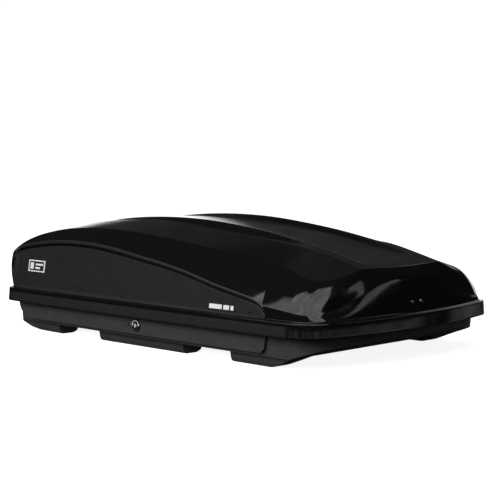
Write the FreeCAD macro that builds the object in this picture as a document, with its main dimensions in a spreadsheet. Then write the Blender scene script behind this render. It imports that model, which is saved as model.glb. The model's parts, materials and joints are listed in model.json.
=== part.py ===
import FreeCAD, Part
import math
import os
import Sketcher

# Roof cargo box: a side-opening lid hinged on a thermoformed tray, with a key lock, a sliding
# lock bar, two gas struts and four U-bolt clamps for the crossbars of a car roof.
# +X points to the nose, +Y to the hinge side, +Z up. The origin is under the middle of the box,
# on the plane of its feet. Millimetres.

Vector = FreeCAD.Vector
X_AXIS = Vector(1, 0, 0)
Y_AXIS = Vector(0, 1, 0)
Z_AXIS = Vector(0, 0, 1)

SIZES = {
    # rim, seen from above: four shallow arcs joined by corner arcs
    "overall_length": 1410, "overall_width": 850,
    "side_bow": 7, "nose_bow": 60, "rear_bow": 11,
    "nose_corner_radius": 120, "rear_corner_radius": 85,
    # lid
    "lip_bottom": 96, "ledge_top": 137.5, "lip_flare": 3, "ledge_width": 17,
    "lid_wall": 3.5, "wall_draft_angle": 9,
    "valley_half_width": 100, "rib_half_spacing": 135, "rib_foot": 170, "shoulder": 310,
    # tray
    "tray_wall": 3.5, "tray_inset": 33, "tray_bottom_inset": 40, "floor_level": 33,
    "flange_bottom": 126.5, "flange_top": 130, "flange_inset": 8,
    "band_inset": 27, "band_bottom": 43, "band_rear": -640, "band_front": 471,
    "foot_outer": 367, "foot_width": 75, "foot_rounding": 14,
    "seal_inset": 15, "seal_width": 8, "seal_height": 3.2,
    # crossbar clamps
    "rear_clamp_station": -342, "front_clamp_station": 224, "clamp_side": 230,
    "bolt_radius": 4, "leg_half_spacing": 40, "bolt_bottom": 1.5, "bolt_top": 72,
    "bolt_bend": 14, "slot_radius": 4.6, "slot_length": 50,
    "plate_length": 110, "plate_width": 44, "plate_thickness": 3, "plate_bottom": 38.9,
    "knob_radius": 20, "knob_height": 22, "knob_bottom": 42.2, "knob_lobes": 5,
    "plate_chamfer": 8, "knob_hub_radius": 11, "knob_hub_height": 8, "lobe_radius": 5,
    "rail_width": 62, "rail_height": 12, "rail_gauge": 2, "rail_rear": -440, "rail_front": 330,
    "rail_rivet_radius": 5, "rail_rivet_head": 2,
    # hinges
    "hinge_side": 407.5, "hinge_height": 112, "hinge_spread": 415, "knuckle_radius": 6,
    "pin_radius": 2.5, "pin_clearance": 0.05, "lid_knuckle": 20, "base_knuckle": 14,
    "knuckle_gap": 0.4, "leaf_gauge": 2.2, "leaf_length": 52, "base_leaf_side": 395.5,
    "base_leaf_bottom": 86, "base_leaf_height": 30, "base_leaf_thickness": 5,
    "lid_leaf_bottom": 99.5, "lid_leaf_height": 24, "web_thickness": 8, "arm_thickness": 7,
    "pin_head_radius": 4, "pin_head_height": 1.4, "leaf_rivet_half_pitch": 16,
    "leaf_rivet_radius": 4, "leaf_rivet_head": 1.6, "base_rivet_height": 94,
    "lip_rivet_height": 106,
    # lock
    "lock_station": -43.5, "lock_height": 70, "barrel_radius": 9, "bezel_radius": 17.5,
    "crank_radius": 10.6, "peg_radius": 2, "lock_travel": 15,
    "bar_side": 374.5, "bar_gauge": 3, "bar_bottom": 96, "bar_top": 112,
    "bar_rear": -548, "bar_front": 440, "lock_pin_radius": 3.5,
    "rear_striker": -533, "middle_striker": -71.5, "front_striker": 400,
    "striker_gauge": 2.5, "striker_width": 30, "rivet_half_pitch": 26, "rivet_height": 156,
    "bezel_face": 401.5, "bezel_depth": 6, "barrel_face": 402.8, "barrel_length": 20.5,
    "key_slot_width": 2, "key_slot_height": 9, "cam_face": 382.3, "cam_gauge": 2.6,
    "cam_hub_radius": 8, "cam_arm_width": 7, "peg_length": 11.8, "tab_width": 18,
    "tab_drop": 24, "tab_slot_width": 5.6, "tab_slot_height": 11, "lock_pin_height": 104,
    "lock_pin_length": 8.5, "guide_length": 18, "guide_bottom": 91, "guide_height": 26,
    "slide_clearance": 0.3, "housing_length": 56, "housing_height": 44,
    "cover_length": 104, "cover_height": 51, "cover_wall": 2, "screw_radius": 3,
    "screw_offset": -36, "striker_leaf_length": 68, "striker_leaf_bottom": 143,
    "striker_leaf_height": 30, "tongue_side": 378, "tongue_bottom": 94.5,
    "tongue_height": 51, "notch_length": 16, "notch_bottom": 99.8, "notch_height": 8.4,
    "striker_rivet_radius": 3.6, "striker_rivet_head": 1.4,
    # nose guide
    "nose_leaf_rear": 640, "nose_leaf_width": 60, "nose_leaf_bottom": 144,
    "nose_leaf_height": 34, "nose_tongue_station": 648, "nose_tongue_width": 40,
    "nose_tongue_bottom": 99, "nose_gauge": 3, "socket_rear": 638, "socket_width": 72,
    "socket_bottom": 84, "socket_height": 38, "socket_slot_rear": 644,
    "socket_slot_length": 11, "socket_slot_width": 52, "socket_slot_bottom": 90,
    "nose_rivet_radius": 4, "nose_rivet_head": 1.6, "nose_rivet_half_pitch": 19.5,
    "nose_rivet_height": 169,
    # gas struts
    "rear_strut_station": -600, "front_strut_station": 440,
    "strut_foot_side": 202, "strut_foot_height": 60, "strut_head_side": 250,
    "strut_head_height": 255, "tube_radius": 9, "rod_radius": 4, "stud_radius": 4,
    "eye_radius": 8, "eye_width": 10, "eye_clearance": 0.4, "stud_length": 16,
    "tube_wall": 1, "piston_length": 8, "bracket_gauge": 3, "bracket_offset": 10,
    "foot_ear_width": 28, "foot_ear_height": 36, "foot_sole_length": 30,
    "head_ear_width": 26, "head_pad_length": 34, "head_pad_width": 40,
    # lid stiffeners
    "rear_bow_station": -330, "front_bow_station": 170, "bow_width": 40, "bow_depth": 12,
    "bow_span": 580, "bow_gauge": 2,
}

# Stations along the box: how high each feature line of the lid runs.
RIB_CREST = ((-705, 290), (-600, 326), (-450, 354), (-300, 369), (-150, 374.5), (0, 371),
             (150, 358), (300, 339), (450, 311), (640, 264))
SHOULDER_CREST = ((-705, 284), (-600, 311), (-450, 333), (-270, 340), (-100, 333), (100, 314.5),
                  (300, 287.5), (450, 267), (640, 228))
RIB_RISE = ((-500, 0), (-350, 7), (-150, 12), (50, 19), (200, 17), (350, 9), (470, 1), (640, 0))
VALLEY_DROP = ((-480, 0), (-350, 5), (-200, 10), (0, 14), (300, 14), (640, 12))
PANEL_TOP = ((-690, 258), (-590, 283), (-470, 298), (-340, 302), (-200, 295), (-50, 280),
             (120, 252), (285, 218), (400, 196), (455, 178), (482, 150))
# Stations across the nose: height of the upper edge of the nose face.
NOSE_EDGE = ((0, 238), (130, 228), (200, 208), (244, 186), (262, 142))

doc = FreeCAD.newDocument("RoofCargoBox")
sheet = doc.addObject("Spreadsheet::Sheet", "Sizes")
for row, (alias, value) in enumerate(SIZES.items(), start=1):
    sheet.set("A%d" % row, alias)
    sheet.set("B%d" % row, str(value))
    sheet.setAlias("B%d" % row, alias)
doc.recompute()
size = {alias: float(sheet.get(alias)) for alias in SIZES}
pieces = []


# ---------------------------------------------------------------- document helpers

def keep(item, label):
    """Marks a document object as one sub-part."""
    item.Label = label
    pieces.append(item)
    return item


def bind(item, **expressions):
    for name, expression in expressions.items():
        item.setExpression(name, expression)


def place(item, x, y, z):
    for axis, expression in zip("xyz", (x, y, z)):
        item.setExpression(".Placement.Base." + axis, str(expression))


def add_box(name, length, width, height, x, y, z):
    item = doc.addObject("Part::Box", name)
    bind(item, Length=str(length), Width=str(width), Height=str(height))
    place(item, x, y, z)
    return item


def add_cylinder(name, radius, height, x, y, z, direction=Z_AXIS):
    item = doc.addObject("Part::Cylinder", name)
    bind(item, Radius=str(radius), Height=str(height))
    item.Placement.Rotation = FreeCAD.Rotation(Z_AXIS, direction)
    place(item, x, y, z)
    return item


def add_cut(name, base, *tools):
    tool = tools[0] if len(tools) == 1 else add_fuse(name + "_tools", *tools)
    item = doc.addObject("Part::Cut", name)
    item.Base = base
    item.Tool = tool
    return item


def add_fuse(name, *shapes):
    item = doc.addObject("Part::MultiFuse", name)
    item.Shapes = list(shapes)
    return item


def add_common(name, *shapes):
    item = doc.addObject("Part::MultiCommon", name)
    item.Shapes = list(shapes)
    return item


def add_shape(name, shape):
    """A moulded form that no parametric feature makes; its sizes come from the sheet."""
    item = doc.addObject("Part::Feature", name)
    item.Shape = shape
    return item


def add_group(name, shapes):
    item = doc.addObject("Part::Compound", name)
    item.Links = list(shapes)
    return item


def new_body(name):
    return doc.addObject("PartDesign::Body", name)


def origin_plane(body, role):
    return next(item for item in body.Origin.OriginFeatures if item.Role == role)


def new_sketch(body, name, role):
    sketch = body.newObject("Sketcher::SketchObject", name)
    sketch.AttachmentSupport = (origin_plane(body, role), [""])
    sketch.MapMode = "FlatFace"
    return sketch


def draw_outline(sketch, corners):
    """A closed polygon whose corners are fixed by expressions, written as (x, y) pairs."""
    count = len(corners)
    first = sketch.GeometryCount
    for index in range(count):
        start = 2 * math.pi * index / count
        end = 2 * math.pi * (index + 1) / count
        sketch.addGeometry(Part.LineSegment(Vector(10 * math.cos(start), 10 * math.sin(start), 0),
                                            Vector(10 * math.cos(end), 10 * math.sin(end), 0)))
    for index in range(count):
        joined = first + (index + 1) % count
        sketch.addConstraint(Sketcher.Constraint("Coincident", first + index, 2, joined, 1))
    for index, (x, y) in enumerate(corners):
        start = 2 * math.pi * index / count
        for kind, expression, value in (("DistanceX", x, 10 * math.cos(start)),
                                        ("DistanceY", y, 10 * math.sin(start))):
            number = sketch.addConstraint(Sketcher.Constraint(kind, first + index, 1, value))
            sketch.setExpression("Constraints[%d]" % number, str(expression))


def draw_circle(sketch, x, y, radius):
    circle = sketch.addGeometry(Part.Circle(Vector(1, 1, 0), Z_AXIS, 5))
    for kind, expression in (("DistanceX", x), ("DistanceY", y)):
        number = sketch.addConstraint(Sketcher.Constraint(kind, circle, 3, 1))
        sketch.setExpression("Constraints[%d]" % number, str(expression))
    number = sketch.addConstraint(Sketcher.Constraint("Radius", circle, 5))
    sketch.setExpression("Constraints[%d]" % number, str(radius))


def draw_slot(sketch, x, y, radius, half_run, near):
    """A slot along the sketch's first axis, drawn near a point and fixed by expressions."""
    cap, run = 4, 20
    right = sketch.addGeometry(Part.ArcOfCircle(
        Part.Circle(Vector(near[0] + run, near[1], 0), Z_AXIS, cap), -math.pi / 2, math.pi / 2))
    left = sketch.addGeometry(Part.ArcOfCircle(
        Part.Circle(Vector(near[0] - run, near[1], 0), Z_AXIS, cap), math.pi / 2,
        3 * math.pi / 2))
    top = sketch.addGeometry(Part.LineSegment(Vector(near[0] + run, near[1] + cap, 0),
                                              Vector(near[0] - run, near[1] + cap, 0)))
    bottom = sketch.addGeometry(Part.LineSegment(Vector(near[0] - run, near[1] - cap, 0),
                                                 Vector(near[0] + run, near[1] - cap, 0)))
    for first, end, second, start in ((right, 2, top, 1), (top, 2, left, 1),
                                      (left, 2, bottom, 1), (bottom, 2, right, 1)):
        sketch.addConstraint(Sketcher.Constraint("Tangent", first, end, second, start))
    rules = (("DistanceX", right, "%s + %s" % (x, half_run), near[0] + run),
             ("DistanceX", left, "%s - %s" % (x, half_run), near[0] - run),
             ("DistanceY", right, y, near[1]))
    for kind, arc, expression, value in rules:
        number = sketch.addConstraint(Sketcher.Constraint(kind, arc, 3, value))
        sketch.setExpression("Constraints[%d]" % number, str(expression))
    for edge in (top, bottom):
        sketch.addConstraint(Sketcher.Constraint("Horizontal", edge))
    number = sketch.addConstraint(Sketcher.Constraint("Radius", right, cap))
    sketch.setExpression("Constraints[%d]" % number, str(radius))


def add_pad(body, sketch, name, length, reversed_side=False):
    pad = body.newObject("PartDesign::Pad", name)
    pad.Profile = sketch
    pad.setExpression("Length", str(length))
    pad.Reversed = reversed_side
    return pad


def add_revolution(body, sketch, name, axis_role):
    turned = body.newObject("PartDesign::Revolution", name)
    turned.Profile = sketch
    turned.ReferenceAxis = (origin_plane(body, axis_role), [""])
    turned.Angle = 360
    return turned


# ---------------------------------------------------------------- rim outline

def circle_through_bow(chord, bow):
    return (chord * chord / 4 + bow * bow) / (2 * bow)


def circles_meet(first, second, near):
    """The crossing of two circles, given as (x, y, radius), that lies nearer to a point."""
    dx = second[0] - first[0]
    dy = second[1] - first[1]
    gap = math.hypot(dx, dy)
    along = (first[2] ** 2 - second[2] ** 2 + gap * gap) / (2 * gap)
    across = math.sqrt(max(first[2] ** 2 - along * along, 0))
    middle = (first[0] + along * dx / gap, first[1] + along * dy / gap)
    crossings = [(middle[0] - sign * across * dy / gap, middle[1] + sign * across * dx / gap)
                 for sign in (1, -1)]
    return min(crossings, key=lambda point: math.dist(point, near))


def unit(start, end):
    length = math.dist(start, end)
    return ((end[0] - start[0]) / length, (end[1] - start[1]) / length)


HALF_LENGTH = size["overall_length"] / 2
HALF_WIDTH = size["overall_width"] / 2
REAR_END = -HALF_LENGTH + size["rear_bow"]
NOSE_END = HALF_LENGTH - size["nose_bow"]
CORNER_SIDE = HALF_WIDTH - size["side_bow"]
SIDE_RADIUS = circle_through_bow(NOSE_END - REAR_END, size["side_bow"])
NOSE_RADIUS = circle_through_bow(2 * CORNER_SIDE, size["nose_bow"])
REAR_RADIUS = circle_through_bow(2 * CORNER_SIDE, size["rear_bow"])
SIDE_CENTRE = ((NOSE_END + REAR_END) / 2, SIDE_RADIUS - HALF_WIDTH)
NOSE_CENTRE = (HALF_LENGTH - NOSE_RADIUS, 0)
REAR_CENTRE = (REAR_RADIUS - HALF_LENGTH, 0)


def corner_circle(end_centre, end_radius, radius, end_x, inward):
    """Centre of a corner arc that touches the right side and one end from inside."""
    near = (end_x + inward * radius, radius - CORNER_SIDE)
    return circles_meet((*SIDE_CENTRE, SIDE_RADIUS - radius), (*end_centre, end_radius - radius),
                        near)


NOSE_CORNER = corner_circle(NOSE_CENTRE, NOSE_RADIUS, size["nose_corner_radius"], NOSE_END, -1)
REAR_CORNER = corner_circle(REAR_CENTRE, REAR_RADIUS, size["rear_corner_radius"], REAR_END, 1)


def rim_wire(inset, level):
    """The rim outline moved inwards by inset, as a closed wire of eight arcs."""
    def on_circle(centre, radius, direction):
        return (centre[0] + radius * direction[0], centre[1] + radius * direction[1])

    nose = size["nose_corner_radius"] - inset
    rear = size["rear_corner_radius"] - inset
    nose_side = on_circle(NOSE_CORNER, nose, unit(SIDE_CENTRE, NOSE_CORNER))
    nose_end = on_circle(NOSE_CORNER, nose, unit(NOSE_CENTRE, NOSE_CORNER))
    rear_side = on_circle(REAR_CORNER, rear, unit(SIDE_CENTRE, REAR_CORNER))
    rear_end = on_circle(REAR_CORNER, rear, unit(REAR_CENTRE, REAR_CORNER))
    diagonal = math.sqrt(0.5)
    nose_middle = on_circle(NOSE_CORNER, nose, (diagonal, -diagonal))
    rear_middle = on_circle(REAR_CORNER, rear, (-diagonal, -diagonal))
    side = (SIDE_CENTRE[0], inset - HALF_WIDTH)

    def mirrored(point):
        return (point[0], -point[1])

    loop = (rear_end, rear_middle, rear_side, side, nose_side, nose_middle, nose_end,
            (HALF_LENGTH - inset, 0), mirrored(nose_end), mirrored(nose_middle),
            mirrored(nose_side), mirrored(side), mirrored(rear_side), mirrored(rear_middle),
            mirrored(rear_end), (inset - HALF_LENGTH, 0))
    points = [Vector(x, y, level) for x, y in loop]
    points.append(points[0])
    arcs = [Part.Arc(*points[start:start + 3]).toShape() for start in range(0, 16, 2)]
    return Part.Wire(arcs)


def rim_block(low_inset, low, high_inset, high):
    """A solid between two rim outlines."""
    return Part.makeLoft([rim_wire(low_inset, low), rim_wire(high_inset, high)], True, True)


def nearest_rim(x, y):
    """Depth inside the rim, its outward direction and the rim point there."""
    sign = 1 if y > 0 else -1
    y = -abs(y)
    corners = ((NOSE_CORNER, size["nose_corner_radius"], NOSE_CENTRE),
               (REAR_CORNER, size["rear_corner_radius"], REAR_CENTRE))
    for centre, radius, end_centre in corners:
        towards_side = unit(SIDE_CENTRE, centre)
        towards_end = unit(end_centre, centre)
        offset = (x - centre[0], y - centre[1])
        turn = 1 if centre is NOSE_CORNER else -1
        past_side = turn * (towards_side[0] * offset[1] - towards_side[1] * offset[0]) >= 0
        before_end = turn * (towards_end[0] * offset[1] - towards_end[1] * offset[0]) <= 0
        outward = offset[0] * towards_side[0] + offset[1] * towards_side[1] > 0
        if past_side and before_end and (outward or offset[0] * towards_end[0] > 0):
            normal = unit(centre, (x, y))
            rim = (centre[0] + radius * normal[0], centre[1] + radius * normal[1])
            return radius - math.hypot(*offset), (normal[0], -sign * normal[1]), \
                (rim[0], -sign * rim[1])
    found = []
    for centre, radius, end in ((SIDE_CENTRE, SIDE_RADIUS, 0), (NOSE_CENTRE, NOSE_RADIUS, 1),
                                (REAR_CENTRE, REAR_RADIUS, -1)):
        normal = unit(centre, (x, y))
        if normal[0] * end >= 0:
            rim = (centre[0] + radius * normal[0], -sign * (centre[1] + radius * normal[1]))
            found.append((radius - math.dist(centre, (x, y)), (normal[0], -sign * normal[1]), rim))
    return min(found)


# ---------------------------------------------------------------- lid form

def along(stations, place_on_line):
    """Smooth curve through stations given as (place, value), straight beyond its ends."""
    count = len(stations)
    slopes = []
    for index in range(count):
        before = stations[max(index - 1, 0)]
        after = stations[min(index + 1, count - 1)]
        slopes.append((after[1] - before[1]) / (after[0] - before[0]))
    if place_on_line <= stations[0][0]:
        return stations[0][1] + slopes[0] * (place_on_line - stations[0][0])
    for index in range(count - 1):
        start, end = stations[index], stations[index + 1]
        if place_on_line <= end[0]:
            span = end[0] - start[0]
            part = (place_on_line - start[0]) / span
            rise = part * part * (3 - 2 * part)
            leave = part * (1 - part) ** 2
            arrive = part * part * (part - 1)
            return (start[1] + (end[1] - start[1]) * rise
                    + span * (slopes[index] * leave + slopes[index + 1] * arrive))
    return stations[-1][1] + slopes[-1] * (place_on_line - stations[-1][0])


def ease(part):
    part = min(max(part, 0), 1)
    return part * part * (3 - 2 * part)


def mix(first, second, part):
    return first + (second - first) * ease(part)


def roof_height(x, y):
    """Roof inside the shoulders: a middle valley, a rib each side of it and two sloping decks."""
    across = abs(y)
    crest = along(RIB_CREST, x)
    rib_base = crest - max(along(RIB_RISE, min(max(x, -500), 640)), 0)
    valley = crest - max(along(VALLEY_DROP, min(max(x, -480), 640)), 0)
    if across <= size["valley_half_width"]:
        return valley
    if across <= size["rib_half_spacing"]:
        width = size["rib_half_spacing"] - size["valley_half_width"]
        return mix(valley, crest, (across - size["valley_half_width"]) / width)
    if across <= size["rib_foot"]:
        width = size["rib_foot"] - size["rib_half_spacing"]
        return mix(crest, rib_base, (across - size["rib_half_spacing"]) / width)
    part = (across - size["rib_foot"]) / (size["shoulder"] - size["rib_foot"])
    return rib_base + (along(SHOULDER_CREST, x) - rib_base) * part


WALL_SLOPE = math.tan(math.radians(size["wall_draft_angle"]))
CORNER_STEP = 4
PANEL_END = 482
NOSE_FACE_END = 262


def edge_form(rim, normal):
    """Wall height, inset of the roof's edge and roundness of the shoulder at a rim point."""
    shoulder_inset = HALF_WIDTH - size["ledge_width"] - size["shoulder"]
    corner = (size["ledge_top"] + CORNER_STEP, 122, 2.3)
    if normal[0] < -0.3:
        turned = min((-normal[0] - 0.3) / 0.5, 1)
        return mix(along(PANEL_TOP, -690), 252, turned), mix(shoulder_inset, 92, turned), \
            mix(1.4, 1.9, turned)
    if abs(rim[1]) < 330 and normal[0] > 0:
        part = (abs(rim[1]) - 150) / (NOSE_FACE_END - 150)
        height = max(along(NOSE_EDGE, min(abs(rim[1]), NOSE_FACE_END)), corner[0])
        return height, mix(50, corner[1], part), mix(1.7, corner[2], part)
    if rim[0] > PANEL_END:
        part = (rim[0] - 430) / 130
        return corner[0], mix(shoulder_inset, corner[1], part), mix(1.15, corner[2], part)
    part = (rim[0] - 430) / 130
    roundness = mix(1.15, corner[2], part)
    return along(PANEL_TOP, max(rim[0], -690)), mix(shoulder_inset, corner[1], part), roundness


def lid_height(x, y):
    """Outside height of the lid: the roof, bent down to the walls round its edge."""
    depth, normal, rim = nearest_rim(x, y)
    from_wall = max(depth - size["ledge_width"], -12)
    wall_top, crest_inset, roundness = edge_form(rim, normal)
    wall_inset = (wall_top - size["ledge_top"]) * WALL_SLOPE
    part = (from_wall - wall_inset) / (crest_inset - wall_inset)
    if part >= 1:
        return roof_height(x, y)
    reach = size["ledge_width"] + crest_inset
    crest = roof_height(rim[0] - reach * normal[0], rim[1] - reach * normal[1])
    return wall_top + (crest - wall_top) * (1 - (1 - part) ** roundness)


GRID_MARGIN = 8
GRID_COLUMNS = 71
GRID_STEP = 2 * (HALF_LENGTH + GRID_MARGIN) / (GRID_COLUMNS - 1)
GRID_X = [-HALF_LENGTH - GRID_MARGIN + GRID_STEP * step for step in range(GRID_COLUMNS)]
GRID_HALF_Y = (0, 34, 67, 90, 100, 112, 124, 135, 146, 158, 170, 182, 215, 250, 285, 303, 317,
               335, 352, 368, 384, 400, 416, 432)


def under_roof(drop):
    """Everything under the lid's outer surface lowered by drop, down to the rim's level."""
    half = list(GRID_HALF_Y)
    grid_y = [-y for y in reversed(half[1:])] + half
    points = [[Vector(x, y, lid_height(x, y) - drop) for y in grid_y] for x in GRID_X]
    surface = Part.BSplineSurface()
    surface.interpolate(points)
    depth = 420
    return surface.toShape().extrude(Vector(0, 0, -depth))


def lid_block(wall):
    """The closed form of the lid: wall 0 is its outside, wall > 0 its hollow."""
    top = 400
    low = size["lip_bottom"] - (1 if wall else 0)
    skirt = rim_block(wall, low, size["lip_flare"] + wall, size["ledge_top"] - wall)
    inset = size["ledge_width"] + wall
    draft = (top - size["ledge_top"]) * WALL_SLOPE
    base = size["ledge_top"] - 10
    upper = rim_block(inset - 10 * WALL_SLOPE, base, inset + draft, top)
    return upper.common(under_roof(wall)).fuse(skirt)


lid_outside = lid_block(0)
lid_hollow = lid_block(size["lid_wall"])
lid_shell = keep(add_shape("LidShell", lid_outside.cut(lid_hollow).removeSplitter()), "lid_shell")


# ---------------------------------------------------------------- tray

def extrude_profile(points, start_y, end_y):
    """A prism across the box whose outline is given as (x, z) pairs."""
    corners = [Vector(x, start_y, z) for x, z in points]
    face = Part.Face(Part.makePolygon(corners + corners[:1]))
    return face.extrude(Vector(0, end_y - start_y, 0))


def underside(wall):
    """Side view of the tray: a rounded tail, level feet and a ramp up to the nose."""
    tail = [(-668 + wall, 140), (-668 + wall, 72), (-660 + wall, 46), (-645 + wall, 27 + wall)]
    keel = [(-600, 11 + wall), (-553, 3 + wall), (-505, wall), (462, wall)]
    ramp = [(480, 4 + wall), (560, 36 + wall), (640, 64 + wall), (700, 80 + wall), (700, 140)]
    return extrude_profile(tail + keel + ramp, -HALF_WIDTH, HALF_WIDTH)


FOOT_SPANS = ((-690, -449), (-250, 126), (320, 560))


def foot_bar(side, start, end, wall):
    """One foot: a bar under the tray's edge with rounded lower corners."""
    outer = size["foot_outer"] - wall
    inner = size["foot_outer"] - size["foot_width"] + wall
    top = size["floor_level"] + 20
    round_over = size["foot_rounding"]
    profile = [(outer + 6, top), (outer, round_over), (outer - 4, 4), (outer - round_over, 0),
               (inner + 1.6 * round_over, 0), (inner + 6, 6), (inner - 2, 20), (inner - 8, top)]
    corners = [Vector(start + wall, side * y, z + (wall if z < top else 0)) for y, z in profile]
    face = Part.Face(Part.makePolygon(corners + corners[:1]))
    return face.extrude(Vector(end - start - 2 * wall, 0, 0))


def side_band(side, wall):
    """The raised band along one side, rounded at its rear end and slanted at its front end."""
    low = size["band_bottom"] + wall
    rear = size["band_rear"] + wall
    front = size["band_front"] - wall
    profile = [(rear, 140), (rear + 4, 90), (rear + 22, 64), (rear + 60, low + 4),
               (rear + 96, low), (front - 12, low), (front, low + 12), (front + 8, 90),
               (front + 14, 140)]
    limits = sorted((side * 330, side * HALF_WIDTH))
    prism = extrude_profile(profile, *limits)
    inset = size["band_inset"] + wall
    return prism.common(rim_block(inset + 1, 30, inset, size["flange_top"]))


def tray_block(wall):
    """Closed form of the tray: wall 0 is its outside, wall > 0 its hollow."""
    top = size["flange_top"] + (1 if wall else 0)
    floor = size["floor_level"] + wall
    block = rim_block(size["tray_bottom_inset"] + wall, floor, size["tray_inset"] + wall, top)
    block = block.fuse([side_band(side, wall) for side in (-1, 1)])
    block = block.common(underside(wall))
    feet = [foot_bar(side, start, end, wall) for side in (-1, 1) for start, end in FOOT_SPANS]
    skirt = rim_block(size["tray_bottom_inset"] + wall, -1, size["tray_bottom_inset"] + wall, top)
    feet = [foot.common(underside(wall)).common(skirt) for foot in feet]
    return block.fuse(feet).removeSplitter()


def slot_cutter(station, side, low, high):
    """A vertical prism the shape of one U-bolt slot, running along the box."""
    radius = size["slot_radius"]
    run = size["slot_length"] - 2 * radius
    middle = Part.makeBox(run, 2 * radius, high - low, Vector(station - run / 2, side - radius, low))
    ends = [Part.makeCylinder(radius, high - low, Vector(station + sign * run / 2, side, low))
            for sign in (-1, 1)]
    return middle.fuse(ends)


CLAMPS = [(end, side, size[end + "_clamp_station"], sign * size["clamp_side"])
          for end in ("rear", "front") for side, sign in (("right", -1), ("left", 1))]
LEG_PLACES = [(station + sign * size["leg_half_spacing"], across)
              for _, _, station, across in CLAMPS for sign in (-1, 1)]

tray_outside = tray_block(0)
tray_hollow = tray_block(size["tray_wall"])
flange = rim_block(size["flange_inset"], size["flange_bottom"],
                   size["flange_inset"], size["flange_top"])
tray = tray_outside.fuse(flange).cut(tray_hollow)
floor_low = size["floor_level"] - 5
tray = tray.cut([slot_cutter(x, y, floor_low, floor_low + 20) for x, y in LEG_PLACES])
lock_axis = Vector(size["lock_station"], -HALF_WIDTH, size["lock_height"])
tray = tray.cut(Part.makeCylinder(size["barrel_radius"] + 0.5, 60, lock_axis, Y_AXIS))
keep(add_shape("BaseTray", tray.removeSplitter()), "base_tray")

seal = rim_block(size["seal_inset"], size["flange_top"],
                 size["seal_inset"], size["flange_top"] + size["seal_height"])
seal = seal.cut(rim_block(size["seal_inset"] + size["seal_width"], size["flange_top"] - 1,
                          size["seal_inset"] + size["seal_width"], size["ledge_top"]))
keep(add_shape("RimSeal", seal), "rim_seal")

outside_of_tray = add_shape("TrayOutside", tray_outside)
hollow_of_tray = add_shape("TrayHollow", tray_hollow)
hollow_of_lid = add_shape("LidHollow", lid_hollow)


def moved_copy(name, source, x, y, z):
    """The same form moved aside, used to cut a sheet of even gauge that follows a surface."""
    shape = source.Shape.copy()
    shape.translate(Vector(x, y, z))
    return add_shape(name, shape)


# ---------------------------------------------------------------- floor rails and clamps

def make_rail(side_name, sign):
    """A folded steel channel on the floor, slotted for the U-bolt legs."""
    body = new_body(side_name + "RailBody")
    sketch = new_sketch(body, side_name + "RailSection", "YZ_Plane")
    middle = "%d * Sizes.clamp_side" % sign
    floor = "Sizes.floor_level + Sizes.tray_wall"
    half = "Sizes.rail_width / 2"
    draw_outline(sketch, (
        ("%s - %s" % (middle, half), floor),
        ("%s + %s" % (middle, half), floor),
        ("%s + %s" % (middle, half), floor + " + Sizes.rail_height"),
        ("%s + %s - Sizes.rail_gauge" % (middle, half), floor + " + Sizes.rail_height"),
        ("%s + %s - Sizes.rail_gauge" % (middle, half), floor + " + Sizes.rail_gauge"),
        ("%s - %s + Sizes.rail_gauge" % (middle, half), floor + " + Sizes.rail_gauge"),
        ("%s - %s + Sizes.rail_gauge" % (middle, half), floor + " + Sizes.rail_height"),
        ("%s - %s" % (middle, half), floor + " + Sizes.rail_height")))
    pad = add_pad(body, sketch, side_name + "RailPad", "Sizes.rail_front - Sizes.rail_rear")
    place(body, "Sizes.rail_rear", 0, 0)
    doc.recompute()
    slots = new_sketch(body, side_name + "RailSlots", "XY_Plane")
    for end in ("rear", "front"):
        for step in (-1, 1):
            station = "Sizes.%s_clamp_station + %d * Sizes.leg_half_spacing" % (end, step)
            near = (size[end + "_clamp_station"] + step * size["leg_half_spacing"]
                    - size["rail_rear"], sign * size["clamp_side"])
            draw_slot(slots, station + " - Sizes.rail_rear", middle, "Sizes.slot_radius",
                      "(Sizes.slot_length / 2 - Sizes.slot_radius)", near)
    before = pad.Shape.Volume
    pocket = body.newObject("PartDesign::Pocket", side_name + "RailPocket")
    pocket.Profile = slots
    pocket.setExpression("Length", "Sizes.floor_level + 20")
    pocket.Reversed = True
    doc.recompute()
    assert pocket.Shape.Volume < before, "the rail's slots cut nothing"
    return keep(body, side_name.lower() + "_floor_rail")


make_rail("Right", -1)
make_rail("Left", 1)


RAIL_RIVET_STATIONS = (-430, -200, -60, 80, 320)
rail_rivets = []
for sign in (-1, 1):
    for station in RAIL_RIVET_STATIONS:
        label = "RailRivet%d" % (len(rail_rivets) + 1)
        rail_rivets.append(add_cylinder(
            label, "Sizes.rail_rivet_radius", "Sizes.rail_rivet_head", station,
            "%d * Sizes.clamp_side" % sign,
            "Sizes.floor_level + Sizes.tray_wall + Sizes.rail_gauge"))
keep(add_group("RailRivets", rail_rivets), "rail_rivets")


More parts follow.
